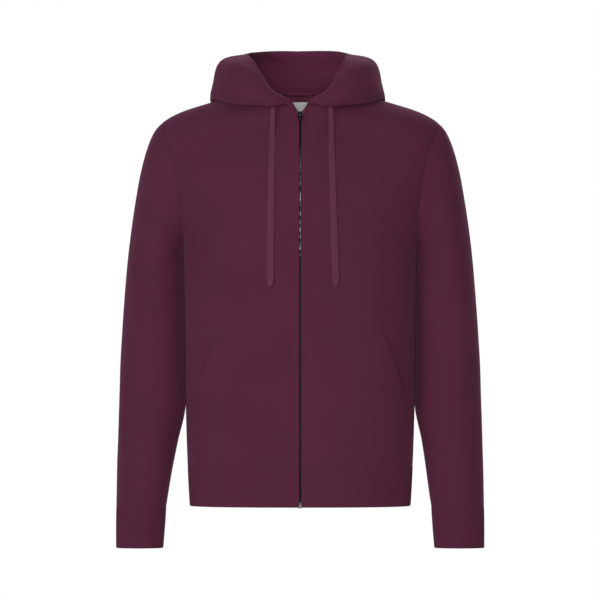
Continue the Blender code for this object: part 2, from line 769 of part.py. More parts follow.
def place_on(grid, at_row, at_column):
    """The point on a grid between its rows and columns, and the grid's directions there."""
    r, c = int(at_row), int(at_column)
    s, t = at_row - r, at_column - c
    a, b, d, e = grid[r, c], grid[r, c + 1], grid[r + 1, c], grid[r + 1, c + 1]
    point = (1 - s) * ((1 - t) * a + t * b) + s * ((1 - t) * d + t * e)
    along = (1 - t) * (d - a) + t * (e - b)
    across = (1 - s) * (b - a) + s * (e - d)
    return point, unit(np.cross(along, across))


def eyelet(side, group):
    """A ring on the hood's outer face, under its roll, where a cord end comes out."""
    point, square = place_on(hood_grid(side), EYELET_ROW, EYELET_COLUMN[side])
    if square[2] > 0:
        square = -square
    profile = bpy.data.meshes.new(f"eyelet_{side}")
    mesh = bmesh.new()
    low, high = EYELET_STAND_OFF, EYELET_STAND_OFF + EYELET_THICKNESS
    corners = ((EYELET_RADIUS, high), (EYELET_RADIUS, low), (EYELET_HOLE, low), (EYELET_HOLE, high))
    ring = [mesh.verts.new(Vector((radius, 0.0, z)) * MM) for radius, z in corners]
    for one, two in zip(ring, ring[1:] + ring[:1]):
        mesh.edges.new((one, two))
    mesh.to_mesh(profile)
    mesh.free()
    profile.materials.append(material(f"eyelet {side}", BURGUNDY, 0.8))
    made = bpy.data.objects.new(f"eyelet_{side}", profile)
    group.objects.link(made)
    turn = made.modifiers.new("turn", "SCREW")
    turn.steps = turn.render_steps = EYELET_STEPS
    turn.use_merge_vertices = True
    turn.merge_threshold = 0.00001
    turn.use_smooth_shade = True
    upright = Vector(square).to_track_quat("Z", "Y").to_matrix().to_4x4()
    made.matrix_world = Matrix.Translation(Vector(point) * MM) @ upright
    return made


def cord(side, group):
    """One hanging end of the flat drawcord, narrower where it leaves its eyelet."""
    points = through(CORD_ROUTE[side], CORD_POINTS)
    widen = np.clip(np.linspace(0, 1 / NECK_SHARE, CORD_POINTS), 0, 1)
    widths = CORD_NECK_WIDTH + (CORD_WIDTH - CORD_NECK_WIDTH) * widen
    mesh = strip(points, widths, CORD_THICKNESS, across=(1.0, SIDES[side] * CHEST_SLOPE, 0.0))
    return add(f"cord_{side}", mesh, material(f"cord {side}", CORD_COLOUR, 0.8), group)


def main():
    for old in list(bpy.data.objects):
        bpy.data.objects.remove(old)
    hoodie = bpy.data.collections.new("zip_up_hoodie")
    helpers = bpy.data.collections.new("helpers")
    for group in (hoodie, helpers):
        bpy.context.scene.collection.children.link(group)
    back_panel(hoodie)
    hem_band(hoodie)
    for side in SIDES:
        front_panel(side, hoodie)
        sleeve(side, hoodie)
        cuff(side, hoodie)
        hood_half(side, hoodie)
        pocket(side, hoodie)
        eyelet(side, hoodie)
        cord(side, hoodie)
    zip_parts(hoodie)
    place = slider_frame()
    slider(place, hoodie, helpers)
    pull_tab(place, hoodie, helpers)
    label(hoodie)


main()
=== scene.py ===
# %% [markdown]
# # A zip-up fleece hoodie, filled out as if worn
#
# The solids of the garment are already modelled and packed: thin walls for the cloth pieces, strips for
# the cords, and plain blocks for the zip. This lesson dresses them. Each cloth piece is laid out again as
# a fine grid on the same form, with its seams, folds and ribs, and then gets a finish with the knit's
# own scale. The tables are in millimetres, as a pattern cutter would write them, and meshes in metres.

# %% Load the packed model
import json
import math

import bmesh
import bpy
import numpy as np
from mathutils import Matrix, Vector
from mathutils.kdtree import KDTree

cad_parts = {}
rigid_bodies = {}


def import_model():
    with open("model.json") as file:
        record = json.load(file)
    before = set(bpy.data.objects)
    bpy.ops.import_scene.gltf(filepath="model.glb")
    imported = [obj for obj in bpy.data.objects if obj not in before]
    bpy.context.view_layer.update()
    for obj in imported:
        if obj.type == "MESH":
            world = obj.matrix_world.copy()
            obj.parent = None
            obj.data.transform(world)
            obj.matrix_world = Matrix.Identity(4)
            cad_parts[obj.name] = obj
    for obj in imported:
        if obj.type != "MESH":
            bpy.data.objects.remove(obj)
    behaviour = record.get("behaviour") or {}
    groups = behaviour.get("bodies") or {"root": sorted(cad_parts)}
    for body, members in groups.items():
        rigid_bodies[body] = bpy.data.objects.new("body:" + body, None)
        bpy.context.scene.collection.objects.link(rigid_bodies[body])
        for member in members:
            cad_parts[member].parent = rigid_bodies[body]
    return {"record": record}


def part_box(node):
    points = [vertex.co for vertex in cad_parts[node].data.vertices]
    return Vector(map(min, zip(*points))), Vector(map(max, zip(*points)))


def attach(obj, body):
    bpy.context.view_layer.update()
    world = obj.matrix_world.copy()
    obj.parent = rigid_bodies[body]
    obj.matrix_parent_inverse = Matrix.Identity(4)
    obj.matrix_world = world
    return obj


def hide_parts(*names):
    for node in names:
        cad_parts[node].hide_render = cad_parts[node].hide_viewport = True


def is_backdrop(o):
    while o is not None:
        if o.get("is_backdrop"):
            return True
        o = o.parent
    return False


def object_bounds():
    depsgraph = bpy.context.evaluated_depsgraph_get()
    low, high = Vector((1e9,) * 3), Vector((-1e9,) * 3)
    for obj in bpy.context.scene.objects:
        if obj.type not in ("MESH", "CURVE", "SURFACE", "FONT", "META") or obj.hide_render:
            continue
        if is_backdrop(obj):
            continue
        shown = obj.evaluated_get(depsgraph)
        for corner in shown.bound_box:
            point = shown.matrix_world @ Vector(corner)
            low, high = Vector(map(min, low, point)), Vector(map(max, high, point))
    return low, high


for old in list(bpy.data.objects):
    bpy.data.objects.remove(old)
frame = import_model()
cad_low, cad_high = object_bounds()
MM = 0.001
SIDES = {"left": 1.0, "right": -1.0}

# %% [markdown]
# ## The camera
#
# A catalogue picture of a garment is taken level and from far away with a long lens, so that the sleeves
# and the body keep their true proportions. A 450 mm lens at 12 m sees 0.96 m at the garment. Moving the
# camera up or down, and not tilting it, keeps the upright edges upright.

# %% Camera
CAMERA_DISTANCE, CAMERA_X, CAMERA_HEIGHT = 12.0, -0.0003, -0.3248
FRAME_WIDTH, SENSOR_WIDTH = 0.96, 36.0  # metres at the garment, and millimetres in the camera
camera = bpy.data.objects.new("camera", bpy.data.cameras.new("camera"))
bpy.context.scene.collection.objects.link(camera)
bpy.context.scene.camera = camera
camera.data.sensor_width = SENSOR_WIDTH
camera.data.lens = SENSOR_WIDTH * CAMERA_DISTANCE / FRAME_WIDTH
camera.data.clip_end = 100.0
camera.location = (CAMERA_X, -CAMERA_DISTANCE, CAMERA_HEIGHT)
camera.rotation_euler = (math.pi / 2, 0.0, 0.0)
print("lens", round(camera.data.lens), "mm")

# %% [markdown]
# ## Sizes
#
# These are the tables that the solids were cut from, with the shoulders a little fuller and the sleeves a
# little nearer the body, as cloth lies. A body row runs from the zip or the centre back to the side seam or
# the armhole. Six rows climb from the hem to the underarm, the next eight go on to the zip's top, and the
# last five turn along the neckline to the shoulder.

# %% Tables of the body, in millimetres
FLEECE, HOOD_CLOTH, POCKET_CLOTH = 2.0, 2.8, 1.8  # thicknesses
HEM, BAND_END, UNDERARM, ZIP_TOP, SIDE_Y = -590.0, -654.0, -250.0, -28.0, 3.0
SIDE_WIDTH = [  # height, half width
    (-654, 176.5), (-590, 180), (-500, 183), (-400, 184.8), (-325, 185.6), (-250, 188),
]
CENTRE_DEPTH = [  # height, front, back
    (-654, -118, 104), (-590, -125, 108), (-500, -129, 107), (-400, -132, 106), (-325, -134, 111),
    (-250, -136, 118), (-180, -135, 125), (-100, -118, 119), (-60, -98, 109), (-28, -81, 96), (2, -70, 76),
]
FULLNESS = 0.85  # the power of a section's curve: 1 is an ellipse, and less is squarer
ZIP_EDGE = 1.9  # how far from the centre line each front ends
NECK_TURN = 120.0  # degrees round the armhole, from its foot to the zip's top
SEAM_ANGLE = 30.0  # how many degrees short of the side the rows stop at the middle of the armhole
SHOULDER_RISE, SHOULDER_CREST = 5.8, 0.75  # the shoulder's fullness, and where along it that is greatest
NECK_FRONT = [(4.7, -81, -28), (17, -80, -15), (38, -69, -5), (62, -45, 3), (79, -18, 9), (86, 8, 12)]
NECK_BACK = [(0, 76, 2), (27, 73, 3), (51, 63, 5), (70, 48, 7), (82, 28, 10), (86, 8, 12)]
SIDE_ROWS, CHEST_ROWS, NECK_ROWS = 6, 8, 5
ZIP_TOP_ROW, SHOULDER_ROW = SIDE_ROWS + CHEST_ROWS, SIDE_ROWS + CHEST_ROWS + NECK_ROWS
print("body:", SHOULDER_ROW, "rows from hem to shoulder")

# %% [markdown]
# A sleeve is a row of rings, and the first ring is the armhole. The hood is a row of lines, which leave the
# neckline, roll over and end at the edge round the face. A cuff carries on from the sleeve's last ring.

# %% Tables of sleeves, hood and pockets, in millimetres
SLEEVE = [  # outer x, outer z, inner x, inner z, half depth, middle y, inward bow
    (222, -42, 188, -250, 66, 3, 12), (234, -57, 186.9, -254, 66, 3, 8), (245, -83, 186.6, -258, 66, 3, 4),
    (255, -120, 186.3, -263, 66, 3, 0), (262, -158, 186, -270, 66, 3, 0),
    (267, -190, 185.6, -280, 65.5, 2, 0), (272, -228, 185.2, -296, 65, 2, 0),
    (276.5, -270, 184.8, -318, 65, 1, 0), (281.5, -330, 184.5, -352, 64, 0, 0),
    (285, -380, 184.4, -392, 63, -1, 0), (288, -432, 183.7, -438, 62, -2, 0),
    (290.5, -495, 183.2, -497, 60, -4, 0),
    (292, -550, 195, -550, 55, -6, 0), (293, -600, 205, -600, 49, -8, 0), (293.9, -655, 214, -655, 42, -9, 0),
]
CUFF = [SLEEVE[-1], (294.2, -721, 219, -721, 37, -10, 0)]

HOOD = [  # under, bottom, wall, top, edge
    ((4.8, -81.4, -27.2), (4.9, -81.5, -26.4), (4.9, -81, -25.7), (4.9, -80.3, -25), (4.9, -79.2, -24.5)),
    ((18, -84, -14.5), (18, -88, -12.5), (18, -90, -9.5), (17, -88, -7), (15.5, -84, -7)),
    ((40, -82, -12), (42, -95, -17), (44, -101, -7), (45, -97, 5), (42, -86, 9)),
    ((68, -67, -6), (73, -88, -15), (78, -97, 7), (72, -88, 31), (60, -70, 37)),
    ((93, -38, 0), (106, -60, -11), (114, -70, 18), (101, -62, 48), (71, -42, 57)),
    ((110, -6, 6), (133, -20, -4.5), (134, -22, 20), (122, -18, 55), (79, -8, 67)),
    ((112, 24, 6), (139, 16, -4), (133, 16, 24), (120, 20, 60), (82, 26, 70)),
    ((100, 62, 3), (134, 76, -24), (133, 78, 12), (116, 74, 58), (80, 64, 72)),
    ((74, 88, -6), (110, 124, -96), (122, 142, -8), (100, 124, 57), (66, 102, 76)),
    ((36, 104, -9), (60, 146, -150), (66, 172, -50), (60, 156, 44), (40, 130, 78)),
    ((0, 107, -8), (0, 150, -172), (0, 180, -64), (0, 166, 40), (0, 140, 78)),
]
POCKET_TOP, POCKET_MOUTH_END = -378.0, -487.0
POCKET_INNER_X, POCKET_TOP_X, POCKET_SIDE_X = 7.0, 131.5, 162.0
print("tables:", len(SLEEVE), "sleeve rings,", len(HOOD), "hood lines")

# %% [markdown]
# ## Lines
#
# Every form here is drawn along smooth lines through a few measured points. Each span between two points
# is a cubic whose ends take the slope of their neighbours.


# %% Smooth lines
def smooth(table, at):
    """The later columns of a table, read at values of its first column along a smooth curve."""
    rows = np.asarray(table, float)
    keys, values = rows[:, 0], rows[:, 1:]
    slopes = np.gradient(values, keys, axis=0)
    at = np.atleast_1d(np.asarray(at, float))
    k = np.clip(np.searchsorted(keys, at) - 1, 0, len(keys) - 2)
    span = (keys[k + 1] - keys[k])[:, None]
    t = (at - keys[k])[:, None] / span
    return (
        (1 + 2 * t) * (1 - t) ** 2 * values[k]
        + t * (1 - t) ** 2 * span * slopes[k]
        + t * t * (3 - 2 * t) * values[k + 1]
        + t * t * (t - 1) * span * slopes[k + 1]
    )


def through(points, at):
    """Points along a smooth curve through the given ones, counted from 0 at the first."""
    return smooth([(i, *point) for i, point in enumerate(points)], at)


def along(line):
    """How far along a line each of its points lies."""
    return np.concatenate([[0.0], np.cumsum(np.linalg.norm(np.diff(line, axis=0), axis=1))])


def at_lengths(line, lengths, values=None):
    """Points on a line at the given distances from its start, or what another table has there."""
    table = np.asarray(line if values is None else values)
    return np.stack([np.interp(lengths, along(line), column) for column in table.T], axis=-1)


def resampled(grid, rows_at, wanted):
    """The rows of a grid, read again at other places between its own."""
    columns = grid.reshape(len(grid), -1).T
    rows = np.stack([np.interp(wanted, rows_at, column) for column in columns], axis=1)
    return rows.reshape(len(wanted), *grid.shape[1:])


def unit(vectors):
    """Vectors of length 1 in the same directions."""
    return vectors / np.maximum(np.linalg.norm(vectors, axis=-1, keepdims=True), 1e-9)


def ease(t):
    """From 0 at 0 to 1 at 1, with a level start and end."""
    t = np.clip(t, 0, 1)
    return t * t * (3 - 2 * t)


def side_of(points, side):
    """A grid drawn for the wearer's left, on the given side."""
    return np.asarray(points) * np.array([SIDES[side], 1.0, 1.0])


print("half of the front neckline:", round(along(through(NECK_FRONT, np.linspace(0, 5, 99)))[-1]), "mm")

# %% [markdown]
# ## The cords' routes
#
# A free cord has one real length, so its route is settled before anything is drawn over it. These two
# ends of one flat drawcord leave their eyelets under the hood's roll, hang a little way free, and then lie
# on the chest down to their tips. A flat cord's given width is what it measures on the chest.

# %% Routes of the two cord ends, in millimetres
CORD_WIDTH, ROUTE_POINTS = 10.0, 36
CORD_ROUTE = {
    "left": [
        (48.4, -86.6, -18.2), (48.9, -86.8, -32), (49.3, -87.4, -46), (49.6, -93.4, -65), (49.8, -101, -80),
        (50, -110, -98), (50.6, -119, -120), (51.5, -127.4, -150), (52.5, -132.1, -180),
        (53.6, -134.7, -215), (55, -135, -260), (55.7, -135, -303),
    ],
    "right": [
        (-42.9, -88.6, -18.7), (-43.8, -88.7, -32), (-44.4, -89, -46), (-44.8, -94.3, -65),
        (-45.1, -102, -80), (-45.4, -111, -98), (-45.8, -120, -120), (-46.3, -128.4, -150),
        (-46.7, -133.1, -180), (-47, -135.5, -215), (-47.4, -135.7, -260), (-47.6, -135.7, -303),
    ],
}
cord_lines = {
    side: through(route, np.linspace(0, len(route) - 1, ROUTE_POINTS)) for side, route in CORD_ROUTE.items()
}
for side, line in cord_lines.items():
    print("cord", side, round(along(line)[-1], 1), "mm")

# %% [markdown]
# ## Shader maths in plain expressions
#
# A finish is a sum of small patterns: the knit's loops, a slow change of tone, a few stray fibres. Nodes
# for such sums are hard to read, so a small class stands for a socket, and adding or multiplying two of
# them adds the Math node that does it.


# %% The class for sockets
class Tone:
    """A socket of a material's node tree, which can be used in arithmetic."""

    def __init__(self, tree, socket):
        self.tree, self.socket = tree, socket

    def node(self, kind, settings=(), **values):
        """A new node. Its inputs are given by name, with _ for a space, or as input_0, input_1 and so on."""
        made = self.tree.nodes.new(kind)
        for name, value in dict(settings).items():
            setattr(made, name, value)
        for name, value in values.items():
            place = int(name[6:]) if name.startswith("input_") else name.replace("_", " ")
            if isinstance(value, Tone):
                self.tree.links.new(value.socket, made.inputs[place])
            else:
                made.inputs[place].default_value = value
        return made

    def first(self, made):
        """What comes out of a node's first working socket."""
        return Tone(self.tree, next(socket for socket in made.outputs if socket.enabled))

    def math(self, operation, *others):
        """What a Math node makes of this value and others."""
        values = {f"input_{k}": value for k, value in enumerate((self, *others))}
        return self.first(self.node("ShaderNodeMath", {"operation": operation}, **values))

    def __add__(self, other):
        return self.math("ADD", other)

    def __sub__(self, other):
        return self.math("SUBTRACT", other)

    def __mul__(self, other):
        return self.math("MULTIPLY", other)

    def __truediv__(self, other):
        return self.math("DIVIDE", other)

    def __rsub__(self, other):
        return self * -1.0 + other

    __radd__, __rmul__ = __add__, __mul__

    def within(self, low, high):
        """This value, kept between two limits."""
        return self.math("MAXIMUM", low).math("MINIMUM", high)

    def part(self, index):
        """X, Y or Z of a vector."""
        return Tone(self.tree, self.node("ShaderNodeSeparateXYZ", input_0=self).outputs[index])

    def wave(self):
        """A smooth hill at each whole number, from 0 between them to 1."""
        return (self * (2 * math.pi)).math("COSINE") * 0.5 + 0.5

    def noise(self, scale, detail=2.0, stretch=(1.0, 1.0, 1.0)):
        """Noise about 0.5 with features of 1/scale metres."""
        mapping = self.node("ShaderNodeMapping", {"vector_type": "POINT"}, Vector=self, Scale=stretch)
        fitted = self.first(mapping)
        return self.first(self.node("ShaderNodeTexNoise", Vector=fitted, Scale=scale, Detail=detail))

    def between(self, low, high):
        """A colour between two, by this value."""
        mixed = self.node("ShaderNodeMix", {"data_type": "RGBA"}, Factor=self)
        for socket, colour in zip((s for s in mixed.inputs if s.type == "RGBA"), (low, high)):
            socket.default_value = (*colour, 1.0)
        return Tone(self.tree, next(socket for socket in mixed.outputs if socket.type == "RGBA"))

    def bump(self, strength, distance):
        """A normal for relief of this height, which is a distance in metres at 1."""
        return self.first(self.node("ShaderNodeBump", Strength=strength, Distance=distance, Height=self))


print("sums of sockets add Math nodes")

# %% [markdown]
# A finish is then a function. It is given two places, one on the object and one on the flat cloth, and
# returns what goes into the shader's sockets. What is the same all over is set on a socket directly.


# %% A material from a finish
def material(name, finish, **constants):
    """A material whose linked sockets come from finish(place on the object, place on the flat cloth)."""
    made = bpy.data.materials.new(name)
    made.use_nodes = True
    tree = made.node_tree
    shader = tree.nodes["Principled BSDF"]
    coordinates = tree.nodes.new("ShaderNodeTexCoord")
    weave = tree.nodes.new("ShaderNodeUVMap")
    weave.uv_map = "weave"
    links = finish(Tone(tree, coordinates.outputs["Object"]), Tone(tree, weave.outputs["UV"]))
    for name, value in links.items():
        tree.links.new(value.socket, shader.inputs[name.replace("_", " ")])
    for name, value in constants.items():
        shader.inputs[name.replace("_", " ")].default_value = value
    return made


print("materials before the first finish:", len(bpy.data.materials))

# %% [markdown]
# ## The cloth's finishes
#
# Sweatshirt fleece has a fine jersey face. Its loops stand in columns about 0.9 mm wide, and each loop is a
# small V. A soft surface scatters light at grazing angles, which sheen gives. The same dye takes a little
# differently from place to place, so the colour drifts a few percent, slowly across the cloth and quickly
# from loop to loop. Rib is made of the same yarn, so it takes the same finish over its ribs.

# %% Burgundy fleece
DARKER, LIGHTER = (0.0795, 0.0150, 0.0378), (0.1000, 0.0201, 0.0492)
WALE, COURSE = 0.0009, 0.00075  # a column of loops and a row of loops, in metres
DRIFT, HEATHER, FUZZ = 9.0, 900.0, 2600.0  # features to the metre
CLOTH = {
    "Specular_IOR_Level": 0.12,
    "Sheen_Weight": 0.27,
    "Sheen_Roughness": 0.5,
    "Sheen_Tint": (0.56, 0.19, 0.36, 1.0),
}


def zigzag(value):
    """From 1 at each whole number down to 0 half way between them."""
    return (value.math("FRACT") - 0.5).math("ABSOLUTE") * 2.0


def knit(flat):
    """The height of a jersey face: columns of small V shapes, from 0 to 1."""
    leg = zigzag(flat.part(0) / WALE)
    rise = (flat.part(1) / COURSE + leg * 0.9).wave()
    return rise * 0.6 + (1.0 - (leg - 0.5) * (leg - 0.5) * 4.0) * 0.4


def fleece_finish(place, flat):
    """Loops, a heathered yarn and a slow drift of the dye."""
    drift, heather = place.noise(DRIFT, 2.0), place.noise(HEATHER, 1.0)
    loops = knit(flat)
    tone = (drift - 0.5) * 1.1 + (heather - 0.5) * 0.5 + (loops - 0.5) * 0.22 + 0.5
    fuzz = place.noise(FUZZ, 2.0)
    return {
        "Base_Color": tone.within(0.0, 1.0).between(DARKER, LIGHTER),
        "Roughness": heather * 0.1 + 0.86,
        "Normal": (loops * 0.7 + fuzz * 0.3).bump(0.35, 0.0002),
    }


fleece = material("burgundy fleece", fleece_finish, **CLOTH)
print("loops:", round(0.01 / WALE), "to the centimetre")

# %% [markdown]
# The inside of the fleece is brushed up to a short nap, which hides the loops. Its paler colour is painted
# light: about twice as light as the outside, so that the shaded inside of the hood looks lit. The drawcord
# is a flat braid of the same dye: its strands cross in small chevrons, in ribs that run down the cord.

# %% Brushed inside with painted light, and drawcord
# painted light: both colours of the inside are about twice as light as the outside's, so the shaded hood
# inside looks lit
PAINTED_LIGHT_INSIDE_DARKER, PAINTED_LIGHT_INSIDE_LIGHTER = (0.155, 0.029, 0.074), (0.205, 0.040, 0.100)
CORD_DARKER, CORD_LIGHTER = (0.104, 0.0215, 0.0520), (0.152, 0.0380, 0.0800)
NAP, NAP_FUZZ, CORD_HEATHER = 420.0, 1900.0, 700.0  # features to the metre
CORD_RIB, CORD_CHEVRON = 0.0011, 0.0016  # the braid's ribs and crossings, in metres


def inside_painted_light_finish(place, flat):
    """Tufts of nap with fine fuzz on them, in colours painted light to brighten the shaded inside."""
    nap, fuzz = place.noise(NAP, 3.0), place.noise(NAP_FUZZ, 2.0)
    return {
        "Base_Color": (nap * 0.6 + fuzz * 0.4).between(PAINTED_LIGHT_INSIDE_DARKER, PAINTED_LIGHT_INSIDE_LIGHTER),
        "Roughness": fuzz * 0.08 + 0.9,
        "Normal": (nap * 0.6 + fuzz * 0.4).bump(0.5, 0.0004),
    }


def cord_finish(place, flat):
    """Chevrons of crossing strands, in ribs."""
    across, length = flat.part(0) / CORD_RIB, flat.part(1) / CORD_CHEVRON
    strands, rib = (length + zigzag(across)).wave(), across.wave()
    tone = strands * 0.35 + place.noise(CORD_HEATHER, 1.0) * 0.45 + rib * 0.2
    return {
        "Base_Color": tone.between(CORD_DARKER, CORD_LIGHTER),
        "Roughness": strands * 0.08 + 0.74,
        "Normal": (strands * 0.6 + rib * 0.4).bump(0.7, 0.0003),
    }


# the inside's material carries painted light in its paler colour
brushed_painted_light = material("brushed fleece inside", inside_painted_light_finish, **CLOTH)
cord_look = material("burgundy drawcord", cord_finish, **CLOTH)
print("cord: a crossing each", CORD_CHEVRON / MM, "mm")

# %% [markdown]
# ## Thread, zip and label
#
# The seams are sewn with thread of the same dye, which is smoother and catches a little more light. The
# zip's tape and the label are woven in twill, whose fine ribs run aslant.

# %% Thread and woven pieces
THREAD_LIGHTER, THREAD_TWIST = (0.112, 0.024, 0.057), 1500.0
TAPE_DARKER, TAPE_LIGHTER = (0.012, 0.005, 0.009), (0.032, 0.014, 0.023)
LABEL_DARKER, LABEL_LIGHTER = (0.84, 0.83, 0.82), (0.93, 0.92, 0.91)
TAPE_TWILL, LABEL_TWILL = 0.0008, 0.0007  # from one slanted rib to the next, in metres


def thread_finish(place, flat):
    """Twisted yarn."""
    twist = place.noise(THREAD_TWIST, 1.0)
    return {"Base_Color": twist.between(DARKER, THREAD_LIGHTER), "Roughness": twist * 0.2 + 0.6}


def twilled(flat, pitch, darker, lighter, roughness, bump, relief):
    """A twill between two colours, with its slanted ribs in relief."""
    twill = ((flat.part(0) + flat.part(1)) / pitch).wave()
    return {
        "Base_Color": twill.between(darker, lighter),
        "Roughness": twill * 0.1 + roughness,
        "Normal": twill.bump(bump, relief),
    }


def tape_finish(place, flat):
    """A coarse dark twill."""
    return twilled(flat, TAPE_TWILL, TAPE_DARKER, TAPE_LIGHTER, 0.75, 0.6, 0.0002)


def label_finish(place, flat):
    """A fine white twill."""
    return twilled(flat, LABEL_TWILL, LABEL_DARKER, LABEL_LIGHTER, 0.6, 0.4, 0.0001)


thread = material("burgundy thread", thread_finish, Specular_IOR_Level=0.25)
tape_look = material("zip tape weave", tape_finish, Specular_IOR_Level=0.3)
label_look = material("white woven label", label_finish, Specular_IOR_Level=0.3)
print("woven finishes ready")

# %% [markdown]
# The zip's teeth are blackened metal. Their heads at the middle of the chain carry painted highlights: glints
# painted into the colour in patches, most of all a hand's length below the neck. The slider and its tab are
# black too, with fine scratches.

# %% Metal
# the teeth's own black, and the near-white of the glints painted into them as painted highlight
TEETH_BLACK, TEETH_GLINT_COLOUR = (0.044, 0.032, 0.041), (0.90, 0.88, 0.90)
SLIDER_DARKER, SLIDER_LIGHTER = (0.022, 0.021, 0.024), (0.06, 0.057, 0.062)
GRAIN, SLIDER_GRAIN, GLINT_PATCH_SCALE = 1100.0, 900.0, 110.0  # features to the metre
DRAWN_OUT = (1.0, 1.0, 0.15)  # which turns the grain into scratches that run up the chain
GLINT_HALF_WIDTH = 0.0009  # how far from the middle of the chain the painted glints reach, in metres
GLINT_PEAK_HEIGHT, GLINT_REACH = -0.168, 0.085  # the height where the painted glints are strongest, and how far they reach
GLINT_FALL, GLINT_LIMITS, GLINT_UNEVENNESS = 4.0, (-3.0, 0.4), 6.0  # how quickly, how far and how unevenly the painted glints fade


def metal_finish(place, flat):
    """Black metal, with painted glints in patches at the middle of the chain."""
    grain = place.noise(GRAIN, 3.0, DRAWN_OUT)
    # painted highlight: glints painted into the colour at the chain's middle, strongest in a band below the
    # neck
    head = 1.0 - (place.part(0).math("ABSOLUTE") / GLINT_HALF_WIDTH).math("MINIMUM", 1.0)
    away = ((place.part(2) - GLINT_PEAK_HEIGHT) / GLINT_REACH).math("ABSOLUTE")
    glint_band = GLINT_FALL - away * GLINT_FALL
    glint_amount = (place.noise(GLINT_PATCH_SCALE, 2.0) - 0.5) * GLINT_UNEVENNESS + glint_band.within(*GLINT_LIMITS)
    glint = head * glint_amount.within(0.0, 1.0) * (grain * 0.8 + 0.8)
    return {
        "Base_Color": glint.math("MINIMUM", 1.0).between(TEETH_BLACK, TEETH_GLINT_COLOUR),
        "Roughness": grain * 0.2 + 0.28,
    }


def slider_finish(place, flat):
    """Black metal with fine wear."""
    grain = place.noise(SLIDER_GRAIN, 3.0)
    return {"Base_Color": grain.between(SLIDER_DARKER, SLIDER_LIGHTER), "Roughness": grain * 0.2 + 0.16}


teeth_look = material("zip teeth metal", metal_finish, Metallic=1.0)
slider_look = material("dark polished metal", slider_finish, Metallic=1.0)
print("finishes:", len(bpy.data.materials))

# %% [markdown]
# ## Cloth as a grid
#
# A cloth piece is easiest to shape as a grid: a row of points for each height and a column for each line
# down the cloth. A class keeps such a grid with its outward directions, so that folds and seams are only
# distances to move along them, and a row of stitches can follow any edge.


# %% A cut of cloth
class Cut:
    """A cloth piece's outer face: a grid of points, which way is out, and where each row starts."""

    def __init__(self, points, inside, closed=False, starts=0.0):
        self.points, self.inside, self.closed, self.starts = points, inside, closed, starts
        down = np.gradient(points, axis=0)
        across = np.gradient(points, axis=1)
        if closed:
            ring = points[:, :-1]
            across = (np.roll(ring, -1, axis=1) - np.roll(ring, 1, axis=1)) / 2
            across = np.concatenate([across, across[:, :1]], axis=1)
        self.out = unit(np.cross(across, down))
        if (self.out * (points - inside)).sum() < 0:
            self.out = -self.out

    def pushed(self, amount):
        """The cut with its points moved outwards, which is how folds and seams are drawn."""
        moved = self.points + self.out * np.asarray(amount)[..., None]
        return Cut(moved, self.inside, self.closed, self.starts)

    def for_side(self, side):
        """The cut on the given side, where it was drawn for the wearer's left."""
        return Cut(side_of(self.points, side), side_of(self.inside, side), self.closed, self.starts)

    def beside(self, edge, distance, start=0.0, end=1.0):
        """A line at a distance from an edge, over a share of it, and the outward directions there."""
        points, out = self.points, self.out
        if edge in ("bottom", "top"):
            points, out = points.swapaxes(0, 1), out.swapaxes(0, 1)
        if edge in ("outer", "top"):
            points, out = points[:, ::-1], out[:, ::-1]
        first, last = round(start * (len(points) - 1)), round(end * (len(points) - 1)) + 1
        pairs = list(zip(points[first:last], out[first:last]))
        line = [at_lengths(inwards, distance) for inwards, directions in pairs]
        square = [at_lengths(inwards, distance, directions) for inwards, directions in pairs]
        return np.array(line), unit(np.array(square))

    def size(self):
        """Its greatest width and length, and its area, in metres."""
        a, b = np.diff(self.points, axis=0)[:, :-1], np.diff(self.points, axis=1)[:-1]
        area = np.linalg.norm(np.cross(a, b), axis=-1).sum() * MM * MM
        width = max(along(line)[-1] for line in self.points) * MM
        length = max(along(line)[-1] for line in self.points.swapaxes(0, 1)) * MM
        return np.array([width, length, area])


cuts = {}
print("a cut has:", [name for name in vars(Cut) if not name.startswith("_")])

# %% [markdown]
# Blender's grid operator makes the faces of a cut, and each corner is then moved to its place. The distances
# along the grid are the knit's own coordinates. They are kept as a UV map, so that the loops keep their
# size on every panel.


# %% From a cut to a mesh
def laid_out(name, cut):
    """A mesh of the cut, with the flat cloth's coordinates in metres as its UV map."""
    rows, columns = cut.points.shape[:2]
    mesh = bmesh.new()
    mesh.loops.layers.uv.new("weave")
    bmesh.ops.create_grid(mesh, x_segments=columns - 1, y_segments=rows - 1, size=1)
    data = bpy.data.meshes.new(name)
    mesh.to_mesh(data)
    mesh.free()
    place = np.empty(len(data.vertices) * 3)
    data.vertices.foreach_get("co", place)
    share = (place.reshape(-1, 3)[:, :2] + 1) / 2
    column, row = np.round(share * (columns - 1, rows - 1)).astype(int).T
    data.vertices.foreach_set("co", (cut.points[row, column] * MM).ravel())
    across = np.array([along(line) for line in cut.points]) + np.reshape(cut.starts, (-1, 1))
    down = np.array([along(line) for line in cut.points.swapaxes(0, 1)]).T
    flat = np.stack([across, down], axis=-1) * MM
    corner = np.empty(len(data.loops), int)
    data.loops.foreach_get("vertex_index", corner)
    data.uv_layers["weave"].data.foreach_set("uv", flat[row[corner], column[corner]].ravel())
    data.update()
    middle = data.polygons[len(data.polygons) // 2]
    first = middle.vertices[0]
    if middle.normal.dot(Vector(cut.out[row[first], column[first]])) < 0:
        data.flip_normals()
    return data


print("the flat cloth's coordinates are kept as the UV map weave")

# %% [markdown]
# Some cuts close on themselves, as a cord does: their two open ends are filled. One or more meshes then
# become an object, which stays at the origin, because a pattern on its coordinates would slide if the object
# were moved.

# %% From meshes to an object
SAME_PLACE = 1e-6  # corners nearer than this, in metres, are one corner


def sealed(cut):
    """The mesh of a cut that closes on itself, with its two open ends filled."""
    data = laid_out("tube", cut)
    mesh = bmesh.new()
    mesh.from_mesh(data)
    bmesh.ops.remove_doubles(mesh, verts=mesh.verts[:], dist=SAME_PLACE)
    bmesh.ops.holes_fill(mesh, edges=[edge for edge in mesh.edges if edge.is_boundary], sides=0)
    mesh.to_mesh(data)
    mesh.free()
    return data


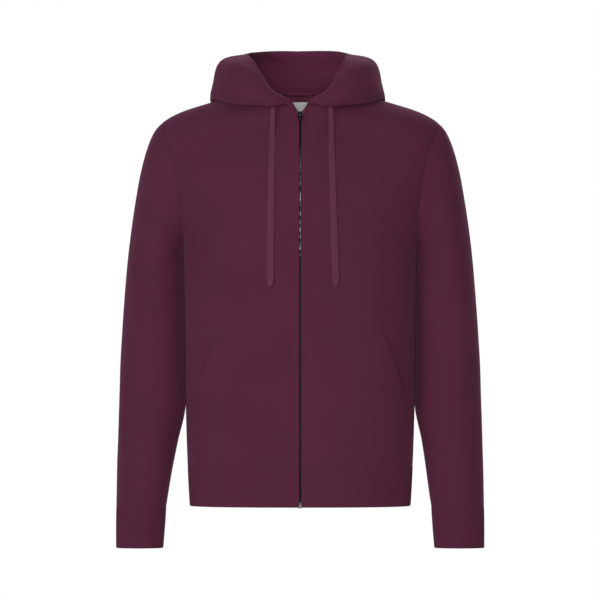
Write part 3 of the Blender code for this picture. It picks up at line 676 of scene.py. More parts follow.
def finished(name, meshes, look, merge=False):
    """An object at the origin for one or more meshes, smooth and with its finish."""
    joined = bmesh.new()
    for data in meshes:
        joined.from_mesh(data)
        bpy.data.meshes.remove(data)
    if merge:
        bmesh.ops.remove_doubles(joined, verts=joined.verts[:], dist=SAME_PLACE)
    data = bpy.data.meshes.new(name)
    joined.to_mesh(data)
    joined.free()
    data.shade_smooth()
    data.materials.append(look)
    made = bpy.data.objects.new(name, data)
    bpy.context.scene.collection.objects.link(made)
    return made


print("corners within", SAME_PLACE / MM, "mm are joined")

# %% [markdown]
# ## Pieces of the garment
#
# A finished object still has to be told three things: which body it moves with, which of the packed solids
# it stands for, and which finish it takes. A cloth piece gets its thickness from Solidify, inwards, with the
# brushed fleece on its inner face, whose paler colour is painted light. Bevel rounds the cut edges, which
# leaves the small groove that a seam shows.


# %% Cloth that stands for a solid
def dressed(made, nodes, body="garment"):
    """Fixes a piece to its body, and hides the solids that it stands in place of."""
    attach(made, body)
    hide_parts(*nodes)
    return made


def thickened(made, thickness, offset, radius, segments, angle):
    """Gives a sheet its thickness and rounded edges, in millimetres, and returns the first modifier."""
    wall = made.modifiers.new("thickness", "SOLIDIFY")
    wall.thickness, wall.offset = thickness * MM, offset
    rounding = made.modifiers.new("rounding", "BEVEL")
    rounding.width, rounding.segments = radius * MM, segments
    rounding.limit_method, rounding.angle_limit = "ANGLE", math.radians(angle)
    return wall


def cloth(name, grids, nodes, thickness, look=fleece, merge=False, edge=0.8):
    """A cloth piece of one or more cuts, with a wall and a rounded edge."""
    made = finished(name, [laid_out(name, cut) for cut in grids], look, merge)
    wall = thickened(made, thickness, -1.0, edge, 2, 60)
    if look is fleece:
        # the inner face takes the brushed fleece, whose paler colour is painted light
        made.data.materials.append(brushed_painted_light)
        wall.material_offset = 1
    return dressed(made, nodes)


def cut_from(piece, size):
    """Prints the flat size of a cloth piece."""
    width, length, area = (float(x) for x in size)
    min(area, width * length)
    print(piece.name, "cut", round(width, 3), "x", round(length, 3), "m, area", round(area, 4))


print("fleece is", FLEECE, "mm thick, and the double hood", HOOD_CLOTH, "mm")

# %% [markdown]
# ## Seams and folds
#
# Cloth dips where it is sewn, and its folds are soft troughs with a low ridge on either side. Both are
# moves along the outward direction, by an amount that falls off with the distance from a line. A
# k-d tree finds that distance quickly.

# %% Dips along seams
SEAM_DIP, SEAM_WIDTH, SEAM_STEP = 0.6, 3.0, 0.7
BAND_SEAM_DIP = 0.1  # the cloth hardly sinks where a rib band goes up behind it
BELOW_UNDERARM, ABOVE_UNDERARM = 45.0, 40.0


def nearest(points, line):
    """For each point, how far the line is, and how far along it (0 to 1) its nearest point lies."""
    tree = KDTree(len(line))
    for k, point in enumerate(line):
        tree.insert(point, k)
    tree.balance()
    found = np.array([tree.find(point)[1:] for point in points.reshape(-1, 3)])
    return found[:, 1].reshape(points.shape[:-1]), found[:, 0].reshape(points.shape[:-1]) / (len(line) - 1)


def seam_dips(cut, lines, depth=SEAM_DIP, width=SEAM_WIDTH):
    """How far each point of a cut sinks, for seams along the given lines."""
    dip = np.zeros(cut.points.shape[:2])
    for line in lines:
        distance = nearest(cut.points, at_lengths(line, np.arange(0, along(line)[-1], SEAM_STEP)))[0]
        dip = np.maximum(dip, np.exp(-((distance / width) ** 2)))
    return -depth * dip


def clear_of_underarm(line):
    """A seam in two parts, below and above the underarm, where body and sleeve lie against each other."""
    heights = line[:, 2]
    return [line[heights < UNDERARM - BELOW_UNDERARM], line[heights > UNDERARM + ABOVE_UNDERARM]]


print("a seam sinks", SEAM_DIP, "mm over", SEAM_WIDTH, "mm")

# %% [markdown]
# A fold is given by a few points along it, a width and a depth. It fades towards both its ends, and only the
# part of the cloth near it is measured, because a grid has thousands of points.

# %% Folds
FOLD_POINTS, FOLD_REACH = 60, 3.5  # points along a fold; how many widths away it still counts
FOLD_END, FADE_POWER = 0.02, 0.8  # where its fading stops, as a share of its length, and how quick it is
RIDGE, RIDGE_PLACE, RIDGE_SHARPNESS = 0.35, 1.9, 1.6  # its side ridges: share of its depth, widths away


def fold_amounts(cut, folds):
    """How far each point of a cut moves out, for a list of folds: points, width and depth."""
    total = np.zeros(cut.points.shape[:2])
    for points, width, depth in folds:
        line = through(points, np.linspace(0, len(points) - 1, FOLD_POINTS))
        low, high = line.min(axis=0) - FOLD_REACH * width, line.max(axis=0) + FOLD_REACH * width
        near = ((cut.points > low) & (cut.points < high)).all(axis=-1)
        if near.any():
            distance, share = nearest(cut.points[near], line)
            t = distance / width
            profile = -np.exp(-t * t) + RIDGE * np.exp(-((t - RIDGE_PLACE) ** 2) * RIDGE_SHARPNESS)
            fade = np.sin(math.pi * np.clip(share, FOLD_END, 1 - FOLD_END)) ** FADE_POWER
            total[near] += depth * profile * fade
    return total


print("a ridge stands", RIDGE, "as high as its fold is deep")

# %% [markdown]
# ## The body's form
#
# A body row is a quarter of a rounded section, a little squarer than an ellipse. Up to the underarm it
# closes at the side seam. Above, it ends on the armhole, which is an inclined ring.

# %% Sections and rings
ROW_POINTS = 160


def row(inner, outer, end):
    """Points from the centre line to the side, along a rounded section cut off at an angle."""
    angles = np.linspace(0, 1, ROW_POINTS) * end
    across = np.sin(angles) ** FULLNESS / math.sin(end) ** FULLNESS
    last = math.cos(end) ** FULLNESS if end < math.pi / 2 else 0.0
    depth = (np.maximum(np.cos(angles), 0) ** FULLNESS - last) / (1 - last)
    points = [
        inner[0] + (outer[0] - inner[0]) * across,
        outer[1] + (inner[1] - outer[1]) * depth,
        inner[2] + (outer[2] - inner[2]) * across,
    ]
    return np.stack(points, axis=1)


def centre(height, front):
    """A panel's point on the zip or at the centre back."""
    depth = smooth(CENTRE_DEPTH, height)[0][0 if front else 1]
    return np.array([ZIP_EDGE if front else 0.0, depth, height])


def side_point(height):
    """The side seam's point at a height below the underarm."""
    return np.array([smooth(SIDE_WIDTH, height)[0][0], SIDE_Y, height])


def ring_point(ring, turn):
    """A point of a sleeve ring: 0 at its inner end, half a turn at its outer one, negative in front."""
    outer_x, outer_z, inner_x, inner_z, depth, middle, bow = np.asarray(ring, float).T
    share = (1 - np.cos(turn)) / 2
    points = [
        inner_x + (outer_x - inner_x) * share - bow * np.sin(turn) ** 2,
        middle + depth * np.sin(turn),
        inner_z + (outer_z - inner_z) * share,
    ]
    return np.stack(points, axis=-1)


print("armhole:", round(along(ring_point(SLEEVE[0], np.linspace(0, 2 * math.pi, 99)))[-1]), "mm round")

# %% [markdown]
# Rows climb from the hem to the shoulder. At the zip's top a front's edge turns away from the zip and
# becomes the neckline, and from there the rows rise a little over the rounded shoulder.

# %% Rows of the body
FLARE_ROWS = 0.5  # over how many rows below the zip's top a front's edge opens out to the neckline


def body_row(v, front):
    """A row of a panel, where v counts the table's rows from 0 at the hem."""
    face = -1 if front else 1
    neckline = NECK_FRONT if front else NECK_BACK
    if v <= SIDE_ROWS:
        height = HEM + (UNDERARM - HEM) * v / SIDE_ROWS
        return row(centre(height, front), side_point(height), math.pi / 2)
    if v <= ZIP_TOP_ROW:
        climb = (v - SIDE_ROWS) / CHEST_ROWS
        inner = centre(UNDERARM + (neckline[0][2] - UNDERARM) * climb, front)
        if front:
            inner[0] += (neckline[0][0] - ZIP_EDGE) * ease((v - ZIP_TOP_ROW) / FLARE_ROWS + 1)
        turn = NECK_TURN * climb
    else:
        inner = through(neckline, v - ZIP_TOP_ROW)[0]
        turn = NECK_TURN + (180 - NECK_TURN) * (v - ZIP_TOP_ROW) / NECK_ROWS
    turn = math.radians(turn)
    line = row(inner, ring_point(SLEEVE[0], face * turn), math.radians(90 - SEAM_ANGLE * math.sin(turn)))
    share = (line[:, 0] - line[0, 0]) / (line[-1, 0] - line[0, 0])
    hill = share**3 * (1 - share) / (SHOULDER_CREST**3 * (1 - SHOULDER_CREST))
    line[:, 2] += SHOULDER_RISE * hill * ease((v - ZIP_TOP_ROW) / NECK_ROWS)
    return line


chest = sum(along(body_row(SIDE_ROWS, front))[-1] for front in (True, False))
print("chest, half way round:", round(chest), "mm")

# %% [markdown]
# A grid that is to show a seam needs close columns by its edges, where the cloth dips, and can be wider
# between them. The rows are drawn first at even steps, then softened where the side seam meets the
# armhole, because real cloth bridges such a change, and last set at their final places. The softening
# fades to nothing at each edge, so that the edges still meet their neighbours.

# %% Grids of the body
EDGE_STEPS = np.array([0.0, 0.9, 1.8, 2.8, 4.0, 5.6, 7.8, 10.6])
SHORT_LINE = 40.0  # shorter lines than this have their steps closer together
BODY_COLUMNS, BODY_GRID_ROWS = 70, 176
LEVELS_PER_ROW, SOFTENINGS = 20, 144


def spaced(length, count):
    """Distances along a line, close together by both its ends and even between them."""
    edge = EDGE_STEPS * min(1.0, length / SHORT_LINE)
    middle = np.linspace(edge[-1], length - edge[-1], count - 2 * len(edge) + 2)
    return np.concatenate([edge[:-1], middle, (length - edge)[::-1][1:]])


def panel(front):
    """Half of the front or back, for the wearer's left, and its rows at the underarm and the zip's top."""
    levels = np.linspace(0, SHOULDER_ROW, SHOULDER_ROW * LEVELS_PER_ROW + 1)
    lines = [body_row(v, front) for v in levels]
    grid = np.array([at_lengths(line, spaced(along(line)[-1], BODY_COLUMNS)) for line in lines])
    inside = np.sin(np.linspace(0, math.pi, BODY_COLUMNS))[None, :, None] ** 0.5
    upright = np.sin(np.pi * levels / SHOULDER_ROW)[1:-1, None, None] ** 0.5
    for _ in range(SOFTENINGS):
        grid[1:-1] += (grid[:-2] + grid[2:] - 2 * grid[1:-1]) / 4 * inside * upright
    middle = along(grid[:, BODY_COLUMNS // 2])
    chosen = np.interp(spaced(middle[-1], BODY_GRID_ROWS), middle, levels)
    kept = [int(np.abs(chosen - fixed).argmin()) for fixed in (SIDE_ROWS, ZIP_TOP_ROW)]
    chosen[kept] = SIDE_ROWS, ZIP_TOP_ROW
    points = resampled(grid, levels, chosen)
    return Cut(points, points * np.array([0.0, 0.0, 1.0]), starts=points[:, 0, 0]), kept


front_half, (underarm_row, corner_row) = panel(front=True)
back_half, (back_underarm_row, back_corner_row) = panel(front=False)
print("front:", front_half.points.shape[:2], "underarm and zip's top at rows", underarm_row, corner_row)

# %% [markdown]
# ## Folds
#
# Heavy fleece that is well filled out shows few folds, and they are broad. They run from where the cloth
# is held: out of the underarms towards the chest, down the body's sides, round the elbows and above the
# cuffs. Each is one entry: points along it on the wearer's left, its width and its depth. No two are alike,
# and the two sides get different ones. Only the hollow beside a pocket's mouth, where the hand presses the
# front in, is the same on both.

# %% Where the body folds, in millimetres
FRONT_FOLDS = {
    "left": [
        ([(176, -58, -232), (150, -96, -205), (122, -116, -170)], 11, 1.5),
        ([(180, -44, -262), (160, -86, -268), (128, -112, -256)], 12, 1.1),
        ([(183, -30, -330), (174, -62, -430), (172, -60, -540)], 15, 1.3),
        ([(120, -104, -580), (118, -110, -520), (112, -116, -450)], 17, 0.8),
        ([(40, -133, -560), (52, -131, -480), (48, -131, -400)], 20, 0.6),
        ([(88, -118, -80), (96, -112, -130), (92, -122, -190)], 18, 0.8),
    ],
    "right": [
        ([(174, -60, -228), (146, -99, -198), (112, -119, -160)], 12, 1.7),
        ([(181, -42, -268), (158, -88, -280), (122, -115, -276)], 13, 1.0),
        ([(184, -28, -340), (176, -58, -440), (171, -62, -550)], 14, 1.4),
        ([(104, -112, -582), (110, -114, -510), (102, -120, -440)], 18, 0.7),
        ([(58, -128, -570), (44, -131, -490), (54, -130, -410)], 19, 0.7),
        ([(80, -120, -70), (90, -116, -120), (98, -120, -200)], 16, 0.7),
    ],
}
MOUTH_HOLLOW = ([(134, -101, -376), (144, -92, -405), (154, -80, -440), (163, -66, -485)], 6, 3.2)
BACK_FOLDS = {
    "left": [
        ([(176, 62, -236), (150, 92, -215), (112, 110, -176)], 13, 1.8),
        ([(180, 48, -262), (150, 90, -280), (100, 108, -300)], 14, 1.5),
        ([(182, 40, -360), (160, 80, -450), (150, 84, -560)], 16, 1.6),
        ([(70, 106, -580), (64, 106, -500), (80, 104, -420)], 19, 1.0),
        ([(40, 110, -350), (90, 104, -372), (140, 88, -350)], 18, 1.3),
    ],
    "right": [
        ([(175, 62, -230), (146, 95, -200), (104, 114, -158)], 14, 1.6),
        ([(181, 46, -266), (154, 88, -292), (108, 107, -330)], 13, 1.7),
        ([(183, 38, -350), (164, 76, -440), (146, 86, -570)], 17, 1.4),
        ([(52, 107, -582), (76, 105, -510), (70, 105, -430)], 18, 1.1),
        ([(20, 113, -330), (80, 107, -348), (136, 92, -322)], 20, 1.1),
    ],
}
print("folds:", sum(len(folds) for table in (FRONT_FOLDS, BACK_FOLDS) for folds in table.values()))

# %% [markdown]
# ## Fronts and back
#
# Each front is one piece from the zip to the side seam. The back is one piece too, so its two halves are
# joined at the centre with no seam there, and its centre line isn't moved by the folds.


# %% Sewing the body
def sewn(half, top_row, folds):
    """Half of the body with its folds drawn and its seams pressed in."""
    edges = half.points
    seams = [*clear_of_underarm(edges[:, -1]), edges[-1], edges[top_row:, 0]]
    amounts = fold_amounts(half, folds) + seam_dips(half, seams)
    return half.pushed(amounts + seam_dips(half, [edges[0]], BAND_SEAM_DIP))


for side in SIDES:
    cut = sewn(front_half, corner_row, [*FRONT_FOLDS[side], MOUTH_HOLLOW]).for_side(side)
    cut_from(cloth(f"front_panel_{side}", [cut], [f"front_{side}"], FLEECE), cut.size())
    cuts["front", side] = cut
for side in SIDES:
    cut = sewn(back_half, back_corner_row, BACK_FOLDS[side])
    cut.points[: back_corner_row + 1, 0] = back_half.points[: back_corner_row + 1, 0]
    cuts["back", side] = cut.for_side(side)
back = cloth("back_panel", [cuts["back", side] for side in SIDES], ["back"], FLEECE, merge=True)
cut_from(back, cuts["back", "left"].size() * (2, 1, 2))

# %% [markdown]
# ## Ribbed bands
#
# A rib band is knitted as a tube twice as deep, folded over and sewn on by both its edges, so its bottom is
# a fold. Its ribs stand upright, about 2 mm apart. The band is drawn as one profile that goes down the
# outside, round the fold and up the inside, repeated at each column round the body.

# %% The profile of a band
HEM_RIBS, CUFF_RIBS, RIB_RELIEF = 508, 124, 0.5
RIB_SHAPE = np.array([1.0, 0.35, -1.0, 0.35])  # crest, side, groove, side
BAND_PROFILE = [  # share of the way up, depth in mm, share of the ribs' relief
    (1.0, 0.8, 0.2), (0.99, 0.35, 0.5), (0.97, 0.1, 1.0), (0.8, -0.1, 1.0), (0.6, -0.2, 1.0),
    (0.4, -0.2, 1.0), (0.2, -0.1, 1.0), (0.06, 0.0, 1.0), (0.02, 0.1, 1.0), (0.004, 0.5, 0.6),
    (0.0, 1.1, 0.3), (0.004, 1.7, 0.2), (0.02, 2.1, 0.2), (0.2, 2.2, 0.0), (0.6, 2.2, 0.0), (1.0, 2.2, 0.0),
    (1.0, 0.8, 0.2),
]


def level(vectors):
    """The same directions without their upright part."""
    return unit(vectors * np.array([1.0, 1.0, 0.0]))


def band(upper, lower, ribs, closed):
    """The grid of a folded rib band between two level lines."""
    count = ribs * len(RIB_SHAPE) + 1
    top, bottom = (at_lengths(line, np.linspace(0, along(line)[-1], count)) for line in (upper, lower))
    towards = np.gradient(top, axis=0)
    if closed:
        towards[0] = towards[-1] = top[1] - top[-2]
    out = level(np.cross(towards, (0.0, 0.0, 1.0)))
    if (out * (top - top.mean(axis=0))).sum() < 0:
        out = -out
    shape = np.resize(RIB_SHAPE, count) * RIB_RELIEF / 2
    rows = [
        bottom + (top - bottom) * share + out * (relief * shape - depth)[:, None]
        for share, depth, relief in BAND_PROFILE
    ]
    return Cut(np.array(rows), np.zeros(3), closed)


def sew_band(name, node, upper, lower, ribs, closed=False):
    """A band between two lines. Its flat size is the outer one of its two layers."""
    made = finished(name, [sealed(band(upper, lower, ribs, closed))], fleece)
    width = max(along(upper)[-1], along(lower)[-1]) * MM
    length = np.linalg.norm(upper[0] - lower[0]) * MM
    cut_from(dressed(made, [node]), (width, length, width * length))


print("ribs:", HEM_RIBS, "round the hem,", CUFF_RIBS, "round each cuff")

# %% [markdown]
# The hem band follows the body's section from the zip, round the back, to the zip again. A cuff follows the
# sleeve's last ring, and as the two arms don't hang alike, the lower part of each is moved in by its own
# amount. Both go a little way up behind the rounded edge of the cloth above them.

# %% Hem band and cuffs
TUCK = 0.9  # how far a band goes up behind the cloth
NEARER = {"left": 4.6, "right": 0.0}  # how far an arm's inner side hangs in towards the body
HANG_TOP, HANG_LENGTH, ARM_WIDTH = -515.0, 125.0, 75.0  # where that begins, and over what length and width
ARM_OUTER_LINE = [(-721, 293), (-655, 293), (-600, 292.5), (-550, 292)]  # height, distance from the middle
CUFF_POINTS = 241


def round_body(height):
    """The hem line at a height: from the zip round the wearer's left, the back and the right to the zip."""
    front, back = (row(centre(height, front), side_point(height), math.pi / 2) for front in (True, False))
    half = np.concatenate([front, back[-2::-1]])
    return np.concatenate([half, side_of(half[-2::-1], "right")])


def hung(points, side):
    """Points of an arm on the wearer's left, with its lower inner side as near the body as it hangs."""
    sideways = np.interp(points[..., 2], *zip(*ARM_OUTER_LINE))
    inner = np.clip((sideways - points[..., 0]) / ARM_WIDTH, 0, 1)
    moved = points.copy()
    moved[..., 0] -= NEARER[side] * inner * ease((HANG_TOP - points[..., 2]) / HANG_LENGTH)
    return moved


sew_band("hem_rib", "hem_band", round_body(HEM + TUCK), round_body(BAND_END), HEM_RIBS)
cuff_edges = [ring_point(ring, np.linspace(0, 2 * math.pi, CUFF_POINTS)) for ring in CUFF]
cuff_edges[0][:, 2] += TUCK
for side in SIDES:
    upper, lower = (side_of(hung(edge, side), side) for edge in cuff_edges)
    sew_band(f"cuff_rib_{side}", f"cuff_{side}", upper, lower, CUFF_RIBS, closed=True)

# %% [markdown]
# ## Sleeves
#
# A set-in sleeve is one piece, sewn into a tube along the underside of the arm. It hangs from the
# shoulder, and its own weight and the turn of the elbow put long shallow folds in it. The folds are placed
# on the front, the back and the outer side, and differ between the two arms.

# %% Where the sleeves fold, in millimetres
SLEEVE_FOLDS = {
    "left": [
        ([(192, -54, -262), (214, -62, -292), (238, -60, -318)], 12, 1.9),
        ([(196, -48, -300), (222, -62, -335), (250, -54, -352)], 13, 1.5),
        ([(262, -46, -250), (244, -62, -330), (222, -62, -400)], 16, 1.0),
        ([(203, -52, -430), (232, -62, -448), (262, -52, -440)], 13, 1.3),
        ([(276, -42, -380), (268, -54, -470), (252, -58, -540)], 15, 1.0),
        ([(212, -42, -560), (236, -56, -588), (262, -50, -600)], 12, 1.3),
        ([(222, -36, -610), (248, -50, -632), (272, -42, -628)], 10, 1.2),
        ([(226, -40, -648), (250, -48, -640), (280, -30, -646)], 8, 0.8),
        ([(196, 52, -280), (226, 64, -318), (256, 56, -340)], 14, 2.0),
        ([(200, 54, -380), (234, 62, -410), (268, 48, -400)], 15, 1.8),
        ([(206, 44, -470), (238, 54, -500), (270, 42, -492)], 13, 1.5),
        ([(216, 34, -580), (246, 40, -606), (276, 28, -600)], 12, 1.5),
        ([(268, 40, -180), (278, 24, -280), (284, 20, -380)], 17, 1.0),
        ([(288, -10, -440), (291, 0, -520), (292, -6, -590)], 13, 0.9),
    ],
    "right": [
        ([(192, -56, -258), (212, -63, -284), (232, -62, -304)], 12, 1.7),
        ([(196, -50, -310), (220, -62, -350), (248, -56, -372)], 14, 1.6),
        ([(256, -52, -230), (246, -62, -300), (232, -62, -370)], 15, 0.9),
        ([(204, -50, -450), (230, -61, -474), (258, -53, -470)], 13, 1.4),
        ([(278, -38, -400), (264, -54, -480), (256, -54, -550)], 15, 1.0),
        ([(214, -42, -574), (240, -54, -604), (266, -46, -608)], 12, 1.4),
        ([(220, -38, -622), (246, -50, -640), (270, -42, -634)], 10, 1.0),
        ([(228, -38, -650), (254, -46, -642), (280, -28, -648)], 8, 0.8),
        ([(196, 54, -290), (222, 64, -330), (250, 58, -356)], 13, 1.9),
        ([(200, 54, -400), (232, 62, -424), (266, 50, -420)], 15, 1.7),
        ([(206, 44, -488), (236, 54, -520), (268, 42, -516)], 14, 1.6),
        ([(218, 32, -596), (248, 40, -616), (276, 26, -612)], 12, 1.4),
        ([(266, 44, -190), (276, 30, -300), (282, 22, -400)], 17, 1.1),
        ([(288, -4, -430), (291, -4, -510), (292, -10, -580)], 13, 0.9),
    ],
}


print("sleeve folds:", {side: len(folds) for side, folds in SLEEVE_FOLDS.items()})

# %% [markdown]
# The rings of the table are joined by smooth lines, and the tube is read again at rows that are close
# together by the armhole and the cuff. The edge that is sewn into the armhole turns in under the body's
# cloth, so that nothing shows between them.

# %% Sleeves
SLEEVE_RINGS, SLEEVE_COLUMNS, SLEEVE_GRID_ROWS = 400, 120, 190
ARMHOLE_TUCK, ARMHOLE_GATHER = 1.6, 0.8  # how far the sewn edge goes in to the body, and to its own middle

turns = np.linspace(0, 2 * math.pi, SLEEVE_COLUMNS + 1)
rings = through(SLEEVE, np.linspace(0, len(SLEEVE) - 1, SLEEVE_RINGS))
tube = np.array([ring_point(ring, turns) for ring in rings])
side_line = along(tube[:, SLEEVE_COLUMNS // 4])
tube = resampled(tube, side_line, spaced(side_line[-1], SLEEVE_GRID_ROWS))
for side in SIDES:
    points = hung(tube, side)
    plain = Cut(points, points.mean(axis=1, keepdims=True), closed=True)
    seams = [clear_of_underarm(points[0])[1], clear_of_underarm(points[:, 0])[0]]
    amounts = fold_amounts(plain, SLEEVE_FOLDS[side]) + seam_dips(plain, seams)
    cut = plain.pushed(amounts + seam_dips(plain, [points[-1]], BAND_SEAM_DIP))
    edge = cut.points[0]
    edge += unit(edge.mean(axis=0) - edge) * ARMHOLE_GATHER - (ARMHOLE_TUCK, 0, 0)
    cut = cuts["sleeve", side] = cut.for_side(side)
    made = cloth(f"sleeve_cloth_{side}", [cut], [f"sleeve_{side}"], FLEECE, merge=True)
    cut_from(made, cut.size())

# %% [markdown]
# ## Hood
#
# A hood is cut as two halves of double cloth, sewn together over the head and down to the neck. Lowered,
# it rolls outwards all round the neck and sags behind it. Its folds follow the roll, and are deepest at
# the back, where most of the cloth lies.

# %% Where the hood folds, in millimetres
HOOD_FOLDS = {
    "left": [
        ([(60, -84, -8), (92, -60, -3), (118, -26, 8)], 7, 1.0),
        ([(74, -92, 14), (106, -68, 30), (128, -30, 40)], 10, 1.2),
        ([(140, 20, 20), (134, 84, 4), (104, 130, -20)], 13, 1.8),
        ([(128, 60, -10), (104, 116, -50), (62, 152, -90)], 14, 2.2),
        ([(120, 84, 40), (90, 132, 30), (40, 162, 20)], 13, 1.8),
        ([(84, 92, 74), (62, 124, 66), (20, 152, 58)], 10, 1.3),
        ([(40, 160, -60), (24, 168, -100), (10, 152, -150)], 12, 1.8),
    ],
    "right": [
        ([(58, -84, -10), (90, -62, -6), (116, -28, 4)], 7, 1.1),
        ([(70, -92, 8), (102, -70, 24), (128, -34, 30)], 10, 1.3),
        ([(141, 10, 26), (138, 78, 14), (112, 126, -8)], 13, 1.7),
        ([(132, 56, -14), (112, 110, -60), (70, 146, -110)], 14, 2.1),
        ([(124, 74, 48), (96, 126, 40), (46, 160, 34)], 13, 1.9),
        ([(82, 84, 76), (64, 116, 72), (26, 146, 66)], 10, 1.2),
        ([(46, 164, -50), (34, 170, -90), (18, 156, -140)], 12, 1.7),
    ],
}


print("hood folds:", {side: len(folds) for side, folds in HOOD_FOLDS.items()})

# %% [markdown]
# Each half is drawn as lines from the neckline over the roll to the edge round the face, one for each point
# of the neckline. A worn hood never lies quite even, so the roll leans a little to one side.

# %% Hood halves
HOOD_GRID_ROWS, HOOD_GRID_COLUMNS = 96, 150
NECK_FIT = 0.6  # over what part of its first level the hood leaves the exact line of the neck
NECK_TUCK = 2.6  # how far its sewn edge turns in behind the neckline
HOOD_LEAN, LEAN_FROM, LEAN_OVER = -4.5, 0.8, 1.8  # towards the wearer's right; between which levels it grows


def hood_grid(side):
    """A hood half's outer face: rows from the neckline to the face edge, columns from the zip to the back."""
    half = np.linspace(0, NECK_ROWS, HOOD_GRID_COLUMNS // 2 + 1)
    neckline = np.concatenate([through(NECK_FRONT, half), through(NECK_BACK, half[-2::-1])])
    ends = NECK_FRONT + NECK_BACK[-2::-1]
    levels = np.linspace(0, len(HOOD[0]), HOOD_GRID_ROWS)
    stations = [through([end, *points], levels) for end, points in zip(ends, HOOD)]
    at = np.linspace(0, len(HOOD) - 1, HOOD_GRID_COLUMNS + 1)
    grid = np.array([through(line, at) for line in np.stack(stations, axis=1)])
    grid += (neckline - grid[0]) * (1 - ease(levels / NECK_FIT))[:, None, None]
    grid[:, -1, 0] = 0
    grid = side_of(grid, side)
    round_neck = np.clip(np.linspace(0, 2, HOOD_GRID_COLUMNS + 1), 0, 1)
    grid[..., 0] += HOOD_LEAN * ease((levels - LEAN_FROM) / LEAN_OVER)[:, None] * round_neck**2
    grid[0] -= level(grid[0]) * NECK_TUCK
    return grid


for side in SIDES:
    grid = hood_grid(side)
    cut = Cut(grid, grid.mean(axis=0, keepdims=True))
    folds = [(side_of(points, side), width, depth) for points, width, depth in HOOD_FOLDS[side]]
    cut = cut.pushed(fold_amounts(cut, folds) + seam_dips(cut, [grid[0], grid[:, -1]]))
    cuts["hood", side] = cut
    made = cloth(f"hood_cloth_{side}", [cut], [f"hood_{side}"], HOOD_CLOTH, edge=1.1)
    cut_from(made, cut.size())

# %% [markdown]
# ## Pouch pockets
#
# A pouch pocket is a patch with a slanted mouth, sewn over the front's lower part: at its top, along the
# zip, into the hem seam and up its short side. Its mouth stands off the front a little, as the hand leaves
# it. The folds of the front run through the patch too, and its sewn edges are pressed down into the
# front's fleece, so that they hardly show.

# %% Pockets
POCKET_ROWS, POCKET_COLUMNS = 84, 70
HEM_GAP = 0.3  # the patch ends this far above the hem band
POCKET_STAND_OFF, POCKET_FULLNESS, MOUTH_STAND_OFF = 0.8, 3.0, 7.0
POCKET_SINK, POCKET_RAMP = 2.8, 11.0  # how far its sewn edges are pressed down, and over what width


def front_surface(x, height):
    """The front's plain outer face below the underarm, at a distance from the centre line."""
    inner, outer = centre(height, True), side_point(height)
    share = (x - inner[0]) / (outer[0] - inner[0])
    depth = np.maximum(1 - share ** (2 / FULLNESS), 0) ** (FULLNESS / 2)
    return np.stack([x, outer[1] + (inner[1] - outer[1]) * depth, np.full_like(x, height)], axis=-1)


def pocket_grid():
    """A pocket's plain face on the front, and how far it stands off, for the wearer's left."""
    upright = spaced(POCKET_TOP - HEM - HEM_GAP, POCKET_ROWS) + HEM + HEM_GAP
    upright[np.abs(upright - POCKET_MOUTH_END).argmin()] = POCKET_MOUTH_END
    face, stand_off = [], []
    for height in upright:
        climb = max(0.0, (height - POCKET_MOUTH_END) / (POCKET_TOP - POCKET_MOUTH_END))
        width = POCKET_SIDE_X + (POCKET_TOP_X - POCKET_SIDE_X) * climb - POCKET_INNER_X
        share = spaced(width, POCKET_COLUMNS) / width
        face.append(front_surface(POCKET_INNER_X + width * share, height))
        puff = POCKET_FULLNESS * math.sin(math.pi * (height - HEM) / (POCKET_TOP - HEM))
        mouth = MOUTH_STAND_OFF * math.sin(math.pi * climb) * share**2
        stand_off.append(POCKET_STAND_OFF + POCKET_CLOTH + puff * np.sin(math.pi * share) + mouth)
    return np.array(face), np.array(stand_off), int(np.abs(upright - POCKET_MOUTH_END).argmin())


face, stand_off, mouth_row = pocket_grid()
plain = Cut(face, face * np.array([0.0, 0.0, 1.0]))
for side in SIDES:
    cut = plain.pushed(stand_off + fold_amounts(plain, FRONT_FOLDS[side]))
    seams = [cut.points[0], cut.points[-1], cut.points[:, 0], cut.points[:mouth_row, -1]]
    cut = cut.pushed(seam_dips(cut, seams, POCKET_SINK, POCKET_RAMP)).for_side(side)
    cuts["pocket", side] = cut
    made = cloth(f"pocket_patch_{side}", [cut], [f"pocket_{side}"], POCKET_CLOTH, edge=0.7)
    cut_from(made, cut.size())

# %% [markdown]
# ## Zip tapes
#
# A zip is two woven tapes with a row of teeth on one edge of each. The tapes are sewn behind the fronts, so
# only a dark line shows between the cloth and the teeth. Each is laid out like the cloth, on the zip's own
# line down the front.

# %% Tapes
TAPE_TOP, TAPE_END, TAPE_DEPTH = -28.6, -652.0, 3.4
TAPE_EDGES, TAPE_THICKNESS, TAPE_ROUNDING = (0.5, 9.5), 0.7, 0.15
TAPE_COLUMNS, TAPE_ROWS = 9, 160
BEHIND = 60.0  # a line this far inside the garment tells which way is out


def zip_line(heights):
    """Points on the line between the fronts, and the direction square to it, towards the front."""
    depths = smooth(CENTRE_DEPTH, heights)[:, 0]
    line = np.stack([np.zeros(len(heights)), depths, heights], axis=1)
    climb = unit(np.gradient(line, axis=0))
    return line, np.stack([climb[:, 0], -climb[:, 2], climb[:, 1]], axis=1)


line, front = zip_line(np.linspace(TAPE_END, TAPE_TOP, TAPE_ROWS))
across = np.linspace(*TAPE_EDGES, TAPE_COLUMNS)[None, :, None] * np.array([1.0, 0.0, 0.0])
tape = Cut((line - front * TAPE_DEPTH)[:, None] + across, (line - front * BEHIND)[:, None])
for side in SIDES:
    cloth(
        f"tape_{side}", [tape.for_side(side)], [f"zip_tape_{side}"], TAPE_THICKNESS,
        look=tape_look, edge=TAPE_ROUNDING,
    )
print("tapes:", round(along(line)[-1]), "mm long")

# %% [markdown]
# ## Small hard pieces
#
# The zip leans back over the chest, so its small pieces are made upright, in axes of their own, and then
# turned and set down on its line. A piece that is repeated is made once and set down at each of its places.


